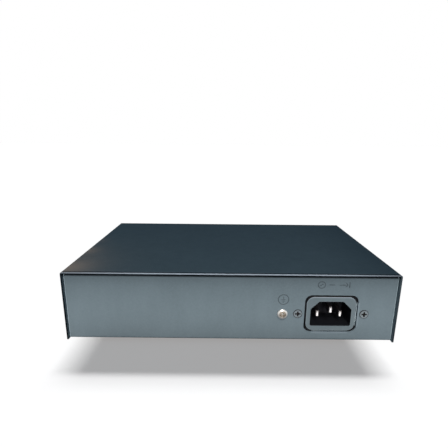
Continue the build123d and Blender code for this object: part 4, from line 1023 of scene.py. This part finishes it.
def makeSky(look):
    world = bpy.data.worlds.new("sky")
    scene.world = world
    world.use_nodes = True
    tree = world.node_tree
    tree.nodes.clear()
    dim = node(tree, "ShaderNodeBackground", {0: look["light"], 1: 1.0})
    white = node(tree, "ShaderNodeBackground", {0: look["seen"], 1: 1.0})
    blend = node(tree, "ShaderNodeMixShader", {0: seenRays(tree), 1: dim.outputs[0], 2: white.outputs[0]})
    node(tree, "ShaderNodeOutputWorld", {0: blend.outputs[0]})


makeSky(sky)

# Lamps, each for the floor alone or for a part of the object alone
floorGroup = bpy.data.collections.new("litFloor")
floorGroup.objects.link(floor)
flagGroup = bpy.data.collections.new("flags")
flagGroup.objects.link(flag)
objectGroup = bpy.data.collections.new("litObject")
coverGroup = bpy.data.collections.new("litCover")
panelGroup = bpy.data.collections.new("litPanel")
for piece in scene.objects:
    if piece.type == "MESH" and piece not in (floor, flag):
        objectGroup.objects.link(piece)
        (coverGroup if piece == nodes["top_cover"] else panelGroup).objects.link(piece)


def addLamp(name, kind, group, blockers, place, aim, colour, power, **settings):
    data = bpy.data.lights.new(name, kind)
    data.energy = power
    data.color = colour
    for key, value in settings.items():
        setattr(data, key, value)
    lamp = bpy.data.objects.new(name, data)
    direction = Vector(aim) - Vector(place)
    lamp.matrix_world = Matrix.Translation(place) @ direction.to_track_quat("-Z", "Y").to_matrix().to_4x4()
    scene.collection.objects.link(lamp)
    lamp.visible_camera = False
    lamp.light_linking.receiver_collection = group
    lamp.light_linking.blocker_collection = blockers
    return lamp


# Suns fanned sideways throw the soft-ended shadow towards the camera, a steep set and a lower, weaker one.
# A set is (degrees over the horizon, degrees across the sun, share of the power)
shadowSuns = {
    "fan": (-7.3, -2.4, 2.4, 7.3),
    "sets": ((56.8, 5.6, 0.75), (50.0, 9.0, 0.25)),
    "power": 2.88,
}


def makeShadowSuns(look):
    for rise, angle, share in look["sets"]:
        up = math.sin(math.radians(rise))
        back = math.cos(math.radians(rise))
        for degrees in look["fan"]:
            place = (math.tan(math.radians(degrees)), -back, up)
            power = look["power"] * share * math.pi / len(look["fan"]) / up
            addLamp("shadowSun", "SUN", floorGroup, flagGroup, place, (0, 0, 0), (1, 1, 1), power,
                    angle=math.radians(angle))


makeShadowSuns(shadowSuns)

# Three long softboxes over the camera light the rear panel past the cover's lip, which shades the fold below
# it; their narrow spread fades towards the panel's top and bottom. A box is (degrees up, share of the power)
panelKey = {
    "aim": (0.0, 0.0575, 0.017),
    "away": 0.42,
    "boxes": ((18.0, 0.33), (38.0, 0.33), (58.0, 0.34)),
    "size": 0.9,
    "size_y": 0.02,
    "spread": 12.0,
    "colour": (1.0, 0.91, 0.85),
    "power": 0.302,
}


def makePanelKey(look):
    for rise, share in look["boxes"]:
        up = math.radians(rise)
        place = Vector(look["aim"]) + look["away"] * Vector((0, math.cos(up), math.sin(up)))
        addLamp("panelKey", "AREA", panelGroup, objectGroup, place, look["aim"], look["colour"],
                look["power"] * share, shape="RECTANGLE", size=look["size"], size_y=look["size_y"],
                spread=math.radians(look["spread"]))


makePanelKey(panelKey)

# A low softbox for the cover: it lights the cut edge and only grazes the top
coverKey = {
    "place": (0.150, 0.42, 0.085),
    "aim": (0.140, 0.059, 0.045),
    "size": 0.46,
    "size_y": 0.02,
    "spread": 13.0,
    "colour": (0.93, 1.0, 1.0),
    "power": 0.128,
}
addLamp("coverKey", "AREA", coverGroup, objectGroup, coverKey["place"], coverKey["aim"], coverKey["colour"],
        coverKey["power"], shape="RECTANGLE", size=coverKey["size"], size_y=coverKey["size_y"],
        spread=math.radians(coverKey["spread"]))

# Fills for the sides that the photograph doesn't show
fills = {
    "suns": {
        "frontFill": ((0.15, -1.0, 0.03), 0.55),
        "leftFill": ((-1.0, -0.05, 0.03), 0.42),
        "rightFill": ((1.0, -0.05, 0.03), 0.42),
    },
    "colour": (1.0, 0.985, 0.96),
    "angle": 18.0,
}
for name, (place, power) in fills["suns"].items():
    addLamp(name, "SUN", objectGroup, objectGroup, place, (0, 0, 0), fills["colour"], power * math.pi,
            angle=math.radians(fills["angle"]))

# Warm glow on the near left corner of the top, narrower farther back along the side
cornerGlow = {
    "spots": (
        ((0.100, 0.052, 0.066), 0.0043),
        ((0.100, 0.020, 0.056), 0.00075),
        ((0.100, -0.004, 0.053), 0.00015),
    ),
    "size": 0.006,
    "colour": (1.0, 0.50, 0.27),
}
for place, power in cornerGlow["spots"]:
    addLamp("cornerGlow", "AREA", coverGroup, objectGroup, place, (place[0], place[1], 0.0),
            cornerGlow["colour"], power, shape="DISK", size=cornerGlow["size"])
print("floor and lamps made")
